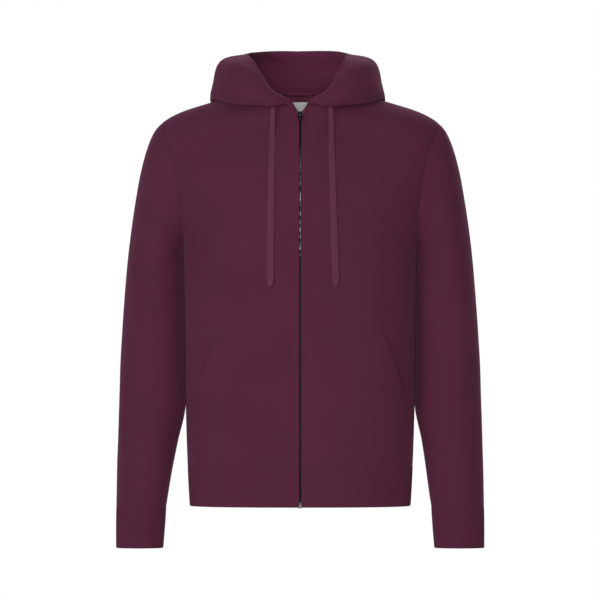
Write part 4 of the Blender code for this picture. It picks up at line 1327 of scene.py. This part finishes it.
# %% Setting pieces down
def placed(origin, x_axis, y_axis, z_axis):
    """A matrix that turns a small piece's own axes to the given directions and takes it to a point in mm."""
    turn = Matrix(np.stack([x_axis, y_axis, z_axis], axis=1).tolist()).to_4x4()
    return Matrix.Translation(Vector(np.asarray(origin, float) * MM)) @ turn


def settled(shape, name="piece"):
    """A mesh of a finished bmesh, with its faces turned outwards."""
    bmesh.ops.recalc_face_normals(shape, faces=shape.faces[:])
    data = bpy.data.meshes.new(name)
    shape.to_mesh(data)
    shape.free()
    return data


def set_down(shape, places):
    """Copies of one small bmesh at many places, as one mesh."""
    pattern, joined = settled(shape), bmesh.new()
    for place in places:
        copy = pattern.copy()
        copy.transform(place)
        joined.from_mesh(copy)
        bpy.data.meshes.remove(copy)
    bpy.data.meshes.remove(pattern)
    return settled(joined)


turned = placed((0.0, 0.0, ZIP_TOP), (1.0, 0.0, 0.0), (0.0, 1.0, 0.0), (0.0, 0.0, 1.0))
print("a piece upright at the zip's top:", [round(x, 3) for x in turned.translation])

# %% [markdown]
# Small cast pieces start as cubes: a function may narrow a cube, and its edges are then bevelled. Metal has
# crisp edges, so its smooth shading stops at them.

# %% Cast pieces
CRISP = math.radians(38)


def cuboid(size, middle):
    """A cube stretched to a size about a middle, in millimetres."""
    shape = bmesh.new()
    place = Matrix.Translation(Vector(middle) * MM) @ Matrix.Diagonal((*(Vector(size) * MM), 1.0))
    bmesh.ops.create_cube(shape, size=1.0, matrix=place)
    return shape


def bevelled(shape, radius, segments=1, edges=None):
    """A bmesh with all its edges rounded, or the given ones."""
    bmesh.ops.bevel(
        shape, geom=edges or shape.edges[:], offset=radius * MM, segments=segments,
        affect="EDGES", profile=0.5, material=-1,
    )
    return shape


def narrowed(shape, rule):
    """A bmesh with each corner where a rule puts it."""
    for corner in shape.verts:
        corner.co = rule(corner.co)
    return shape


def metal(name, meshes, look, nodes, body="garment"):
    """A small hard piece that stands for its solid."""
    made = finished(name, meshes, look)
    made.data.set_sharp_from_angle(angle=CRISP)
    return dressed(made, nodes, body)


print("edges over", round(math.degrees(CRISP)), "degrees stay crisp")

# %% [markdown]
# ## Teeth
#
# The teeth of the two tapes alternate, so that each sits between two of the other side, and a slider can
# press them together. One tooth is a block with its head pinched and its edges bevelled. It has only some
# two dozen faces, because a long chain has hundreds of teeth.

# %% The chain
TOOTH_PITCH, TOOTH_THICKNESS, TOOTH_BEVEL = 2.7, 1.15, 0.22
TOOTH_HEAD, TOOTH_ROOT = -0.45, 2.0  # how far from the centre line they are
TOOTH_FRONT, TOOTH_BACK = -0.2, 3.1  # how far behind the fronts' line they are
HEAD_DEPTH, HEAD_THICKNESS = 0.72, 0.8  # the head's sizes, as a share of the root's
CHAIN_END, CHAIN_TOP = -644.7, -34.6  # the slider covers the rest


def tooth_head(corner):
    """The head of a tooth is thinner and lower than its root."""
    return corner * Vector((1.0, HEAD_DEPTH, HEAD_THICKNESS)) if corner.x < 0 else corner


heights = np.arange(CHAIN_END, CHAIN_TOP, TOOTH_PITCH / 2)
line, front = zip_line(heights)
middle = line - front * (TOOTH_FRONT + TOOTH_BACK) / 2
climb = np.stack([front[:, 0], front[:, 2], -front[:, 1]], axis=1)
for first, (side, sign) in enumerate(SIDES.items()):
    size = (TOOTH_ROOT - TOOTH_HEAD, TOOTH_BACK - TOOTH_FRONT, TOOTH_THICKNESS)
    tooth = narrowed(cuboid(size, ((TOOTH_ROOT + TOOTH_HEAD) / 2, 0, 0)), tooth_head)
    places = [
        placed(middle[k], (sign, 0, 0), -front[k], climb[k] * sign) for k in range(first, len(heights), 2)
    ]
    teeth = set_down(bevelled(tooth, TOOTH_BEVEL), places)
    chain = metal(f"teeth_{side}", [teeth], teeth_look, [f"zip_chain_{side}"])
    print(chain.name, len(places), "teeth,", len(chain.data.polygons), "faces")

# %% [markdown]
# ## Slider
#
# A slider is one casting: two plates with the chain between them, a post that parts the teeth, and a bridge
# in front that holds the pull tab. It has axes of its own, which lean with the zip.

# %% The slider's place
SLIDER_HEIGHT = -31.0


def slider_place():
    """The slider's own axes: its origin on the zip's line, -Y out of the garment and Z up the chain."""
    heights = (ZIP_TOP + (UNDERARM - ZIP_TOP) / CHEST_ROWS, ZIP_TOP)
    depths = smooth(CENTRE_DEPTH, heights)[:, 0]
    climb = unit(np.array([0.0, depths[1] - depths[0], heights[1] - heights[0]]))
    depth = np.interp(SLIDER_HEIGHT, heights, depths)
    back = np.array([0.0, climb[2], -climb[1]])
    return placed((0.0, depth, SLIDER_HEIGHT), (1.0, 0.0, 0.0), back, climb)


slider_at = slider_place()
print("the zip leans back by", round(math.degrees(abs(slider_at.to_euler().x))), "degrees at its top")

# %% [markdown]
# The plates are blocks that taper towards the bottom. The post is a small block, and its ends sink a little
# into both plates.

# %% Plates and post
PLATE_WIDTH, PLATE_LENGTH, PLATE_FOOT = 8.0, 12.0, 0.82  # the foot as a share of the shoulders' width
FRONT_PLATE, BACK_PLATE = (-2.2, -0.6), (4.5, 5.7)  # depths behind the zip's line; less than 0 is in front
FRONT_ROUNDING, BACK_ROUNDING = 0.6, 0.45
POST_WIDTH, POST_LENGTH, POST_HEIGHT, POST_SINK, POST_ROUNDING = 3.0, 2.4, 4.6, 0.2, 0.3


def narrower_below(corner):
    """The plates are widest at the shoulders, where the two chains come in."""
    return corner * Vector((PLATE_FOOT, 1.0, 1.0)) if corner.z < 0 else corner


def plate(depths, rounding):
    """One of the slider's plates, from one depth to another."""
    size = (PLATE_WIDTH, depths[1] - depths[0], PLATE_LENGTH)
    return bevelled(narrowed(cuboid(size, (0, sum(depths) / 2, 0)), narrower_below), rounding, segments=3)


def post():
    """The post between the plates."""
    depths = FRONT_PLATE[1] - POST_SINK, BACK_PLATE[0] + POST_SINK
    size = (POST_WIDTH, depths[1] - depths[0], POST_LENGTH)
    return bevelled(cuboid(size, (0, sum(depths) / 2, POST_HEIGHT)), POST_ROUNDING)


print("between the plates:", round(BACK_PLATE[0] - FRONT_PLATE[1], 1), "mm")

# %% [markdown]
# The bridge is a small section spun half a turn, which gives an arch that the tab can swing under. Its feet
# sink a little into the front plate. The four castings are then one object.

# %% Bridge, and the whole slider
BRIDGE_HALF, BRIDGE_RISE, BRIDGE_WIDTH, BRIDGE_BAR = 4.4, 3.2, 2.6, 1.1
BRIDGE_STEPS, BRIDGE_ROUNDING, BRIDGE_SINK = 14, 0.25, 0.3
SQUARE = 1.0  # edges that turn by more than this, in radians, are the section's own corners


def bridge():
    """An arch in the plane of Y and Z: a small rectangle spun half a turn about X."""
    shape = bmesh.new()
    half, inner = BRIDGE_WIDTH / 2, BRIDGE_HALF - BRIDGE_BAR
    section = ((-half, inner), (half, inner), (half, BRIDGE_HALF), (-half, BRIDGE_HALF))
    face = shape.faces.new([shape.verts.new(Vector((x, 0, z)) * MM) for x, z in section])
    bmesh.ops.spin(
        shape, geom=[face, *face.edges, *face.verts], cent=(0, 0, 0), axis=(1, 0, 0), angle=math.pi,
        steps=BRIDGE_STEPS, use_duplicate=False, use_merge=False,
    )
    squeeze = (BRIDGE_RISE + BRIDGE_SINK) / BRIDGE_HALF
    bmesh.ops.scale(shape, verts=shape.verts[:], vec=(1.0, squeeze, 1.0))
    bmesh.ops.translate(shape, verts=shape.verts[:], vec=(0.0, (FRONT_PLATE[0] + BRIDGE_SINK) * MM, 0.0))
    sharp = [edge for edge in shape.edges if edge.is_manifold and edge.calc_face_angle() > SQUARE]
    return bevelled(shape, BRIDGE_ROUNDING, segments=2, edges=sharp)


plates = plate(FRONT_PLATE, FRONT_ROUNDING), plate(BACK_PLATE, BACK_ROUNDING)
castings = [settled(shape) for shape in (*plates, post(), bridge())]
for data in castings:
    data.transform(slider_at)
slider = metal("slider", castings, slider_look, ["zip_slider"])
low, high = (np.array(corner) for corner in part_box("zip_slider"))
print("slider:", [round(float(x) / MM, 1) for x in high - low], "mm,", len(slider.data.polygons), "faces")

# %% [markdown]
# ## Pull tab
#
# The tab is a flat piece of the same metal with a window, and its top bar goes under the bridge. It starts
# as a grid, whose lines are moved to the rims and from which the window's faces are deleted.

# %% A flat piece with a window
TAB_WIDTH, TAB_LENGTH, TAB_BAR = 5.8, 15.6, 0.55
WINDOW_WIDTH, WINDOW_LOW, WINDOW_HIGH = 3.8, -7.45, -TAB_BAR
WINDOW_STEPS, FOOT_STEPS = 6, 8  # the grid's steps beside the window and below it


def windowed():
    """The grid in the plane of X and Z, in millimetres, with its bar about the origin."""
    half = np.array([TAB_WIDTH / 2, WINDOW_WIDTH / 2, WINDOW_WIDTH / 6])
    rims = [*-half, 0.0, *half[::-1]]
    foot = np.linspace(TAB_BAR - TAB_LENGTH, WINDOW_LOW, FOOT_STEPS + 1)
    rungs = [*foot, *np.linspace(WINDOW_LOW, WINDOW_HIGH, WINDOW_STEPS + 1)[1:], 0.0, TAB_BAR]
    shape, across, up = bmesh.new(), len(rims) - 1, len(rungs) - 1
    bmesh.ops.create_grid(shape, x_segments=across, y_segments=up, size=1.0)
    for corner in shape.verts:
        column, rung = (corner.co.x + 1) / 2 * across, (corner.co.y + 1) / 2 * up
        corner.co = Vector((rims[round(column)], 0.0, rungs[round(rung)]))
    inside = [
        face for face in shape.faces
        if abs(face.calc_center_median().x) < WINDOW_WIDTH / 2
        and WINDOW_LOW < face.calc_center_median().z < WINDOW_HIGH
    ]
    bmesh.ops.delete(shape, geom=inside, context="FACES")
    return shape


print("window:", WINDOW_WIDTH, "x", round(WINDOW_HIGH - WINDOW_LOW, 1), "mm")

# %% [markdown]
# Its lower corners are drawn in to a round end, and it has a slight waist below the window. It turns on its
# top bar, so it rides on the tab's own body.

# %% The tab
TAB_THICKNESS, TAB_ROUNDING = 1.1, 0.3
WAIST, WAIST_BELOW, WAIST_LENGTH = 0.10, 1.4, 1.8  # narrower by this share; how far below the window
TIP_LEAST = 0.30  # the round end's narrowest row, as a share of the width
AXIS_HEIGHT, AXIS_DEPTH = 2.2, -3.2  # the tab's axis, in the slider's own axes


def tab_plate():
    """The tab in its own axes: X across it, Z up to its bar, thickness along Y."""
    shape, radius = windowed(), TAB_WIDTH / 2
    middle = TAB_BAR - TAB_LENGTH + radius
    for corner in shape.verts:
        if corner.co.z < middle:
            drop = (middle - corner.co.z) / radius
            corner.co.x *= max(math.sqrt(max(1 - drop * drop, 0.0)), TIP_LEAST)
        waist = math.exp(-(((corner.co.z - WINDOW_LOW + WAIST_BELOW) / WAIST_LENGTH) ** 2))
        corner.co.x *= 1 - WAIST * waist
        corner.co *= MM
    return shape


hinge = slider_at @ Matrix.Translation(Vector((0.0, AXIS_DEPTH, AXIS_HEIGHT)) * MM)
tab_mesh = settled(tab_plate())
tab_mesh.transform(hinge)
tab = metal("tab", [tab_mesh], slider_look, ["pull_tab"], body="tab")
thickened(tab, TAB_THICKNESS, 0.0, TAB_ROUNDING, 3, 50)
joint = frame["record"]["behaviour"]["joints"][0]
print("tab's axis:", [round(x, 4) for x in hinge.translation], "joint:", joint["pos_m"])

# %% [markdown]
# ## Bottom box and pin
#
# At its lower end, one chain ends in a box and the other in a pin that slides into it. The box is a block
# with an inset face, and the pin a small rod beside the chain that goes into it.

# %% The box
BOX_RIM, BOX_HOLLOW, BOX_ROUNDING = 1.1, 0.35, 0.32
PIN_ASIDE, PIN_RAISED, PIN_RADIUS, PIN_LENGTH, PIN_SIDES = 1.2, 1.0, 0.8, 3.0, 12

low, high = (np.array(corner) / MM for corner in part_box("zip_box"))
size, middle = high - low, (high + low) / 2
case = cuboid(size, middle)
front_face = min(case.faces, key=lambda face: face.calc_center_median().y)
bmesh.ops.inset_region(case, faces=[front_face], thickness=BOX_RIM * MM, depth=0.0)
bmesh.ops.translate(case, verts=front_face.verts[:], vec=(0.0, BOX_HOLLOW * MM, 0.0))
bevelled(case, BOX_ROUNDING, segments=2)
pin, radius = bmesh.new(), PIN_RADIUS * MM
bmesh.ops.create_cone(
    pin, cap_ends=True, segments=PIN_SIDES, radius1=radius, radius2=radius, depth=PIN_LENGTH * MM,
    matrix=Matrix.Translation(Vector((PIN_ASIDE, middle[1], high[2] + PIN_RAISED)) * MM),
)
metal("bottom_box", [settled(case), settled(pin)], slider_look, ["zip_box"])
print("box:", [round(float(x), 1) for x in size], "mm")

# %% [markdown]
# ## Drawcord
#
# The drawcord is a flat braid. Each hanging end is drawn along its route as a closed flat section that
# widens below the eyelet, where the braid is no longer pulled together, and narrows at the cut tip. It
# faces outwards square to the chest, which slopes back to each side of the zip.

# %% The braid
CORD_THICKNESS, CHEST_SLOPE = 1.4, 0.17
CORD_WIDTHS = [(0.0, 7.0), (0.25, CORD_WIDTH), (0.8, 11.2), (1.0, 11.2)]  # share of the way down, width
CORD_SECTION, CORD_STEPS = 20, 170
WIDE_POWER, DEEP_POWER = 0.45, 0.6  # below 1, which makes the section flat with round edges
TIP_LENGTH, TIP_STEPS, TIP_START = 13.0, 16, 0.06
TIP_WIDTH, TIP_THICKNESS = 0.14, 0.5  # the cut end, as a share of the cord's width and thickness


def cord_frame(line, side):
    """Directions across the cord and out of its face, at each point."""
    climb = unit(np.gradient(line, axis=0))
    lean = np.array([1.0, SIDES[side] * CHEST_SLOPE, 0.0])
    across = unit(lean - climb * (climb @ lean)[:, None])
    return across, np.cross(across, climb)


def cord_cut(side):
    """The closed surface of one cord end: a rounded flat section at each step."""
    route = cord_lines[side]
    length = along(route)[-1]
    body = np.linspace(0, length - TIP_LENGTH, CORD_STEPS - TIP_STEPS)
    tip = length - TIP_LENGTH * (1 - ease(np.linspace(TIP_START, 1, TIP_STEPS)))
    at = np.concatenate([body, tip])
    line = at_lengths(route, at)
    across, face = cord_frame(line, side)
    left = np.clip((length - at) / TIP_LENGTH, 0, 1)
    rounded = np.sqrt(1 - (1 - left) ** 2)
    width = np.interp(at / length, *zip(*CORD_WIDTHS)) * (TIP_WIDTH + (1 - TIP_WIDTH) * rounded)
    thick = CORD_THICKNESS * (TIP_THICKNESS + (1 - TIP_THICKNESS) * np.clip(left * 2, 0, 1))
    turns = np.linspace(0, 2 * math.pi, CORD_SECTION + 1)
    wide = np.sign(np.cos(turns)) * np.abs(np.cos(turns)) ** WIDE_POWER
    deep = np.sign(np.sin(turns)) * np.abs(np.sin(turns)) ** DEEP_POWER
    points = (
        line[:, None]
        + across[:, None] * (wide[None] * width[:, None] / 2)[..., None]
        + face[:, None] * (deep[None] * thick[:, None] / 2)[..., None]
    )
    return Cut(points, line[:, None], closed=True)


print("cord:", CORD_WIDTHS[0][1], "mm wide at the eyelet,", CORD_WIDTHS[-1][1], "mm at the tip")

# %% [markdown]
# A few strands of yarn have come out of each cut tip. A strand is a thin cone, cut across a few times so
# that it can be bent. The strands are pieces on the cord.

# %% Cord ends
STRANDS = {  # place across the cord, length, thickness
    "left": [(-2.4, 5.0, 0.6), (0.4, 8.5, 0.8), (1.9, 3.5, 0.5)],
    "right": [(-0.4, 9.0, 0.7), (1.1, 5.5, 0.6)],
}
STRAND_SIDES, STRAND_CUTS, STRAND_BEND, STRAND_TURN = 8, 3, 0.5, 3.0
STRAND_START, STRAND_CLOSER, STRAND_SPREAD = 2.5, 0.5, 0.06  # where it starts, and how it spreads from there


def strand(start, direction, length, thickness):
    """A thin tapered piece of yarn."""
    shape = bmesh.new()
    bmesh.ops.create_cone(
        shape, cap_ends=True, segments=STRAND_SIDES, radius1=thickness * MM / 2, radius2=thickness * MM / 6,
        depth=length * MM,
    )
    lengthwise = [edge for edge in shape.edges if edge.verts[0].co.z * edge.verts[1].co.z < 0]
    bmesh.ops.subdivide_edges(shape, edges=lengthwise, cuts=STRAND_CUTS, use_grid_fill=True)
    for corner in shape.verts:
        down = 0.5 + corner.co.z / (length * MM)
        corner.co.x += math.sin(down * STRAND_TURN) * STRAND_BEND * MM
    place = Vector(direction).to_track_quat("Z", "Y").to_matrix().to_4x4()
    bmesh.ops.transform(shape, matrix=place, verts=shape.verts[:])
    middle = (np.asarray(start) + np.asarray(direction) * length / 2) * MM
    bmesh.ops.translate(shape, verts=shape.verts[:], vec=middle)
    return settled(shape)


def yarns(side):
    """The strands that come out of a cord's tip."""
    route = cord_lines[side]
    across, heading = cord_frame(route, side)[0][-1], unit(route[-1] - route[-2])
    for place, length, thickness in STRANDS[side]:
        start = route[-1] + across * place * STRAND_CLOSER - heading * STRAND_START
        yield strand(start, unit(heading + across * place * STRAND_SPREAD), length, thickness)


for side in SIDES:
    route = cord_lines[side]
    frayed = finished(f"cord_strands_{side}", yarns(side), cord_look)
    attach(frayed, "garment")
    cord = finished(f"drawcord_{side}", [sealed(cord_cut(side))], cord_look)
    dressed(cord, [f"cord_{side}"])
    length = along(route)[-1] * MM
    tuple(route[0] * MM)
    [tuple(point * MM) for point in route]
    print(cord.name, round(length, 4), "m,", len(cord.data.polygons), "faces")

# %% [markdown]
# ## Eyelets
#
# Each cord end comes out of a hole worked with thread, as a buttonhole is: close stitches that all point
# to the middle. A small flattened circle is spun into a ring, and every other step is raised a little, so
# that the ring reads as thread.

# %% Sewn eyelets
EYELET_OUTER, EYELET_INNER, EYELET_HEIGHT = 4.5, 2.2, 1.2
EYELET_SECTION, EYELET_STITCHES, STITCH_RIPPLE = 10, 44, 0.14


def sewn_ring():
    """A ring about Z: its section spun a full turn, with a ripple for the stitches."""
    shape = bmesh.new()
    middle, half = (EYELET_OUTER + EYELET_INNER) / 2, (EYELET_OUTER - EYELET_INNER) / 2
    section = bmesh.ops.create_circle(shape, segments=EYELET_SECTION, radius=1.0)["verts"]
    for corner in section:
        corner.co = Vector((middle + corner.co.x * half, 0.0, corner.co.y * EYELET_HEIGHT / 2)) * MM
    bmesh.ops.spin(
        shape, geom=shape.verts[:] + shape.edges[:], cent=(0, 0, 0), axis=(0, 0, 1), angle=2 * math.pi,
        steps=2 * EYELET_STITCHES, use_duplicate=False, use_merge=True,
    )
    for corner in shape.verts:
        turn = math.atan2(corner.co.y, corner.co.x)
        corner.co.z *= 1 + STITCH_RIPPLE * math.cos(turn * EYELET_STITCHES)
    return shape


def hood_normal(side):
    """The way out of the hood's face where its cord comes through."""
    cut = cuts["hood", side]
    place = np.mean(np.array(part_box(f"eyelet_{side}")), axis=0) / MM
    distance = np.linalg.norm(cut.points - place, axis=-1)
    return place, cut.out[np.unravel_index(distance.argmin(), distance.shape)]


for side in SIDES:
    place, out = hood_normal(side)
    ring = settled(sewn_ring())
    turn = Vector(out).to_track_quat("Z", "Y").to_matrix().to_4x4()
    ring.transform(Matrix.Translation(Vector(place * MM)) @ turn)
    made = metal(f"sewn_eyelet_{side}", [ring], thread, [f"eyelet_{side}"])
    print(made.name, "at", [round(float(x)) for x in place], "mm")

# %% [markdown]
# ## Neck label
#
# The label is a bare piece of white woven ribbon, sewn inside the back by its top edge. It hangs free below,
# so its lower edge curls a little.

# %% Label
LABEL_ROWS, LABEL_COLUMNS, LABEL_THICKNESS, LABEL_ROUNDING = 26, 24, 0.5, 0.12
LABEL_GAP, LABEL_CROWN, LABEL_CURL = 0.1, 1.6, 1.5  # from the solid's front; at its top; at its lower edge
LABEL_BEND = 1.4  # how quickly the curl fades towards the label's sides

low, high = (np.array(corner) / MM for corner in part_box("neck_label"))
u, v = np.meshgrid(np.linspace(-1, 1, LABEL_COLUMNS), np.linspace(0, 1, LABEL_ROWS))
crown, curl = v**2 * (1 - u * u), (1 - v) ** 2 * np.cos(u * LABEL_BEND)
depth = low[1] + LABEL_GAP + LABEL_CROWN * crown - LABEL_CURL * curl
face = np.stack([u * (high[0] - low[0]) / 2, depth, low[2] + (high[2] - low[2]) * v], axis=-1)
label_cut = Cut(face, face + np.array([0.0, BEHIND, 0.0]))
label = cloth(
    "bare_label", [label_cut], ["neck_label"], LABEL_THICKNESS,
    look=label_look, edge=LABEL_ROUNDING,
)
cut_from(label, label_cut.size())

# %% [markdown]
# ## Stitching
#
# Most seams of a sweatshirt show rows of stitches: only its sides and the undersides of its sleeves are sewn
# from within. One stitch is a small stretched ball, half sunk in the cloth, and a row of them follows a line
# at a set distance from a piece's edge. The cuts give those lines, with the way out of the cloth at each
# point, so the rows follow every fold.

# %% One row of stitches
STITCH_LENGTH, STITCH_PITCH, STITCH_WIDTH, STITCH_HEIGHT, STITCH_LIFT = 2.5, 3.1, 0.55, 0.36, 0.06
AHEAD = 0.5  # how far to each side a stitch looks for its direction


def stitch_places(line, out):
    """Where each stitch of a row goes: its length along the row, its height out of the cloth."""
    at = np.arange(STITCH_PITCH / 2, along(line)[-1], STITCH_PITCH)
    runs = unit(at_lengths(line, at + AHEAD) - at_lengths(line, at - AHEAD))
    for point, run, up in zip(at_lengths(line, at), runs, unit(at_lengths(line, at, out))):
        sideways = unit(np.cross(up, run))
        place = placed(point + up * STITCH_LIFT, run, sideways, np.cross(run, sideways))
        yield place @ Matrix.Diagonal((STITCH_LENGTH, STITCH_WIDTH, STITCH_HEIGHT, 1.0))


def stitch_rows(name, rows):
    """One object for all the rows of a seam."""
    joined, count = bmesh.new(), 0
    for line, out in rows:
        for place in stitch_places(line, out):
            bmesh.ops.create_icosphere(joined, subdivisions=1, radius=0.5 * MM, matrix=place)
            count += 1
    made = finished(name, [settled(joined)], thread)
    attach(made, "garment")
    print(name, count, "stitches")


print("a stitch each", STITCH_PITCH, "mm")

# %% [markdown]
# Hem and cuffs have two rows side by side, as a twin needle makes. The other seams have one, and a pocket's
# mouth has a second row where the turned-in cloth ends. The hood's casing for the cord is stitched too.

# %% All the rows
TWIN_ROWS, ONE_ROW, PRESSED_ROW = (2.4, 5.4), 3.0, 2.6  # distances from a seam's edge
ZIP_ROW, MOUTH_ROW, CASING_ROW = 4.7, 9.0, 25.0
ZIP_START, SHOULDER_START, CASING_START, NECK_START = 0.006, 0.25, 0.12, 0.1  # where rows start, as shares

for side in SIDES:
    front, back, sleeve, hood, pocket = (
        cuts[piece, side] for piece in ("front", "back", "sleeve", "hood", "pocket")
    )
    front_last, back_last, mouth = len(front.points) - 1, len(back.points) - 1, mouth_row / (POCKET_ROWS - 1)
    rows = {
        "zip": [front.beside("inner", ZIP_ROW, ZIP_START, corner_row / front_last)],
        "hem": [piece.beside("bottom", distance) for piece in (front, back) for distance in TWIN_ROWS],
        "armhole": [
            front.beside("outer", ONE_ROW, underarm_row / front_last),
            back.beside("outer", ONE_ROW, back_underarm_row / back_last),
        ],
        "shoulder": [back.beside("top", ONE_ROW, SHOULDER_START)],
        "cuff": [sleeve.beside("top", distance) for distance in TWIN_ROWS],
        "hood": [
            hood.beside("top", CASING_ROW, CASING_START),
            hood.beside("outer", ONE_ROW),
            hood.beside("bottom", ONE_ROW, NECK_START),
        ],
        "pocket": [
            pocket.beside("outer", ONE_ROW, mouth),
            pocket.beside("outer", MOUTH_ROW, mouth),
            pocket.beside("outer", PRESSED_ROW, 0.0, mouth),
            pocket.beside("inner", PRESSED_ROW),
            pocket.beside("top", PRESSED_ROW),
        ],
    }
    for seam, lines in rows.items():
        stitch_rows(f"stitch_{seam}_{side}", lines)

# %% [markdown]
# ## Light and floor
#
# A white surround lights the cloth from everywhere, as a white cove does. To the lens it is plain white, but
# it lights the cloth with less than a third of that, so that the lamps can draw the folds. Three lamps stand
# in front: a large soft one and a small one close to the lens, which brightens the label deep in the neck,
# and a key lamp to one side, which gives the folds their shade. A weak one below lifts the hem, and one
# behind lights the back.

# %% Studio
AMBIENT = 0.30
LIT_POINT = Vector((0.0, 0.0, -0.3))
LAMPS = {  # place, watts, width
    "front": ((-0.2, -4.2, -0.1), 39.0, 1.5),
    "near the lens": ((-0.05, -4.4, -0.06), 31.0, 0.3),
    "key": ((-2.3, -3.0, 0.3), 34.0, 0.9),
    "low": ((0.3, -3.4, -1.7), 10.0, 1.8),
    "back": ((0.8, 3.4, 1.2), 60.0, 2.6),
}

bpy.context.scene.view_settings.view_transform = "Standard"
world = bpy.context.scene.world = bpy.data.worlds.new("studio")
world.use_nodes = True
surround = world.node_tree.nodes["Background"]
surround.inputs["Color"].default_value = (1.0, 1.0, 1.0, 1.0)
rays = world.node_tree.nodes.new("ShaderNodeLightPath")
strength = Tone(world.node_tree, rays.outputs["Is Camera Ray"]) * (1.0 - AMBIENT) + AMBIENT
world.node_tree.links.new(strength.socket, surround.inputs["Strength"])
for name, (place, watts, width) in LAMPS.items():
    lamp = bpy.data.objects.new(name, bpy.data.lights.new(name, "AREA"))
    lamp.data.energy, lamp.data.size = watts, width
    lamp.location = place
    lamp.rotation_euler = (LIT_POINT - Vector(place)).to_track_quat("-Z", "Y").to_euler()
    bpy.context.scene.collection.objects.link(lamp)
print("lamps:", len(LAMPS))

# %% [markdown]
# The floor is a pale disc below the garment, which hangs above it. It is only a stage and no part of the
# garment.

# %% Floor
FLOOR_HEIGHT, FLOOR_RADIUS, FLOOR_SIDES = -0.85, 0.5, 96


def floor_finish(place, flat):
    """Pale and slightly uneven."""
    grain = place.noise(30.0, 3.0)
    colour = grain.between((0.80, 0.80, 0.79), (0.84, 0.84, 0.83))
    return {"Base_Color": colour, "Roughness": grain * 0.1 + 0.7}


disc = bmesh.new()
bmesh.ops.create_circle(disc, cap_ends=True, segments=FLOOR_SIDES, radius=FLOOR_RADIUS)
bmesh.ops.translate(disc, verts=disc.verts[:], vec=(0.0, 0.0, FLOOR_HEIGHT))
floor = finished("floor", [settled(disc)], material("pale floor", floor_finish))
floor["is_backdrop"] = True
print("floor at", FLOOR_HEIGHT, "m")

# %% [markdown]
# ## The closing lines
#
# The dressed garment has to keep the size of the packed solids, so both boxes are printed.

# %% Sizes and finish
low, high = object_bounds()
boxes = {"cad": [list(cad_low), list(cad_high)], "visual": [list(low), list(high)]}
print({name: [[round(x, 4) for x in corner] for corner in box] for name, box in boxes.items()})
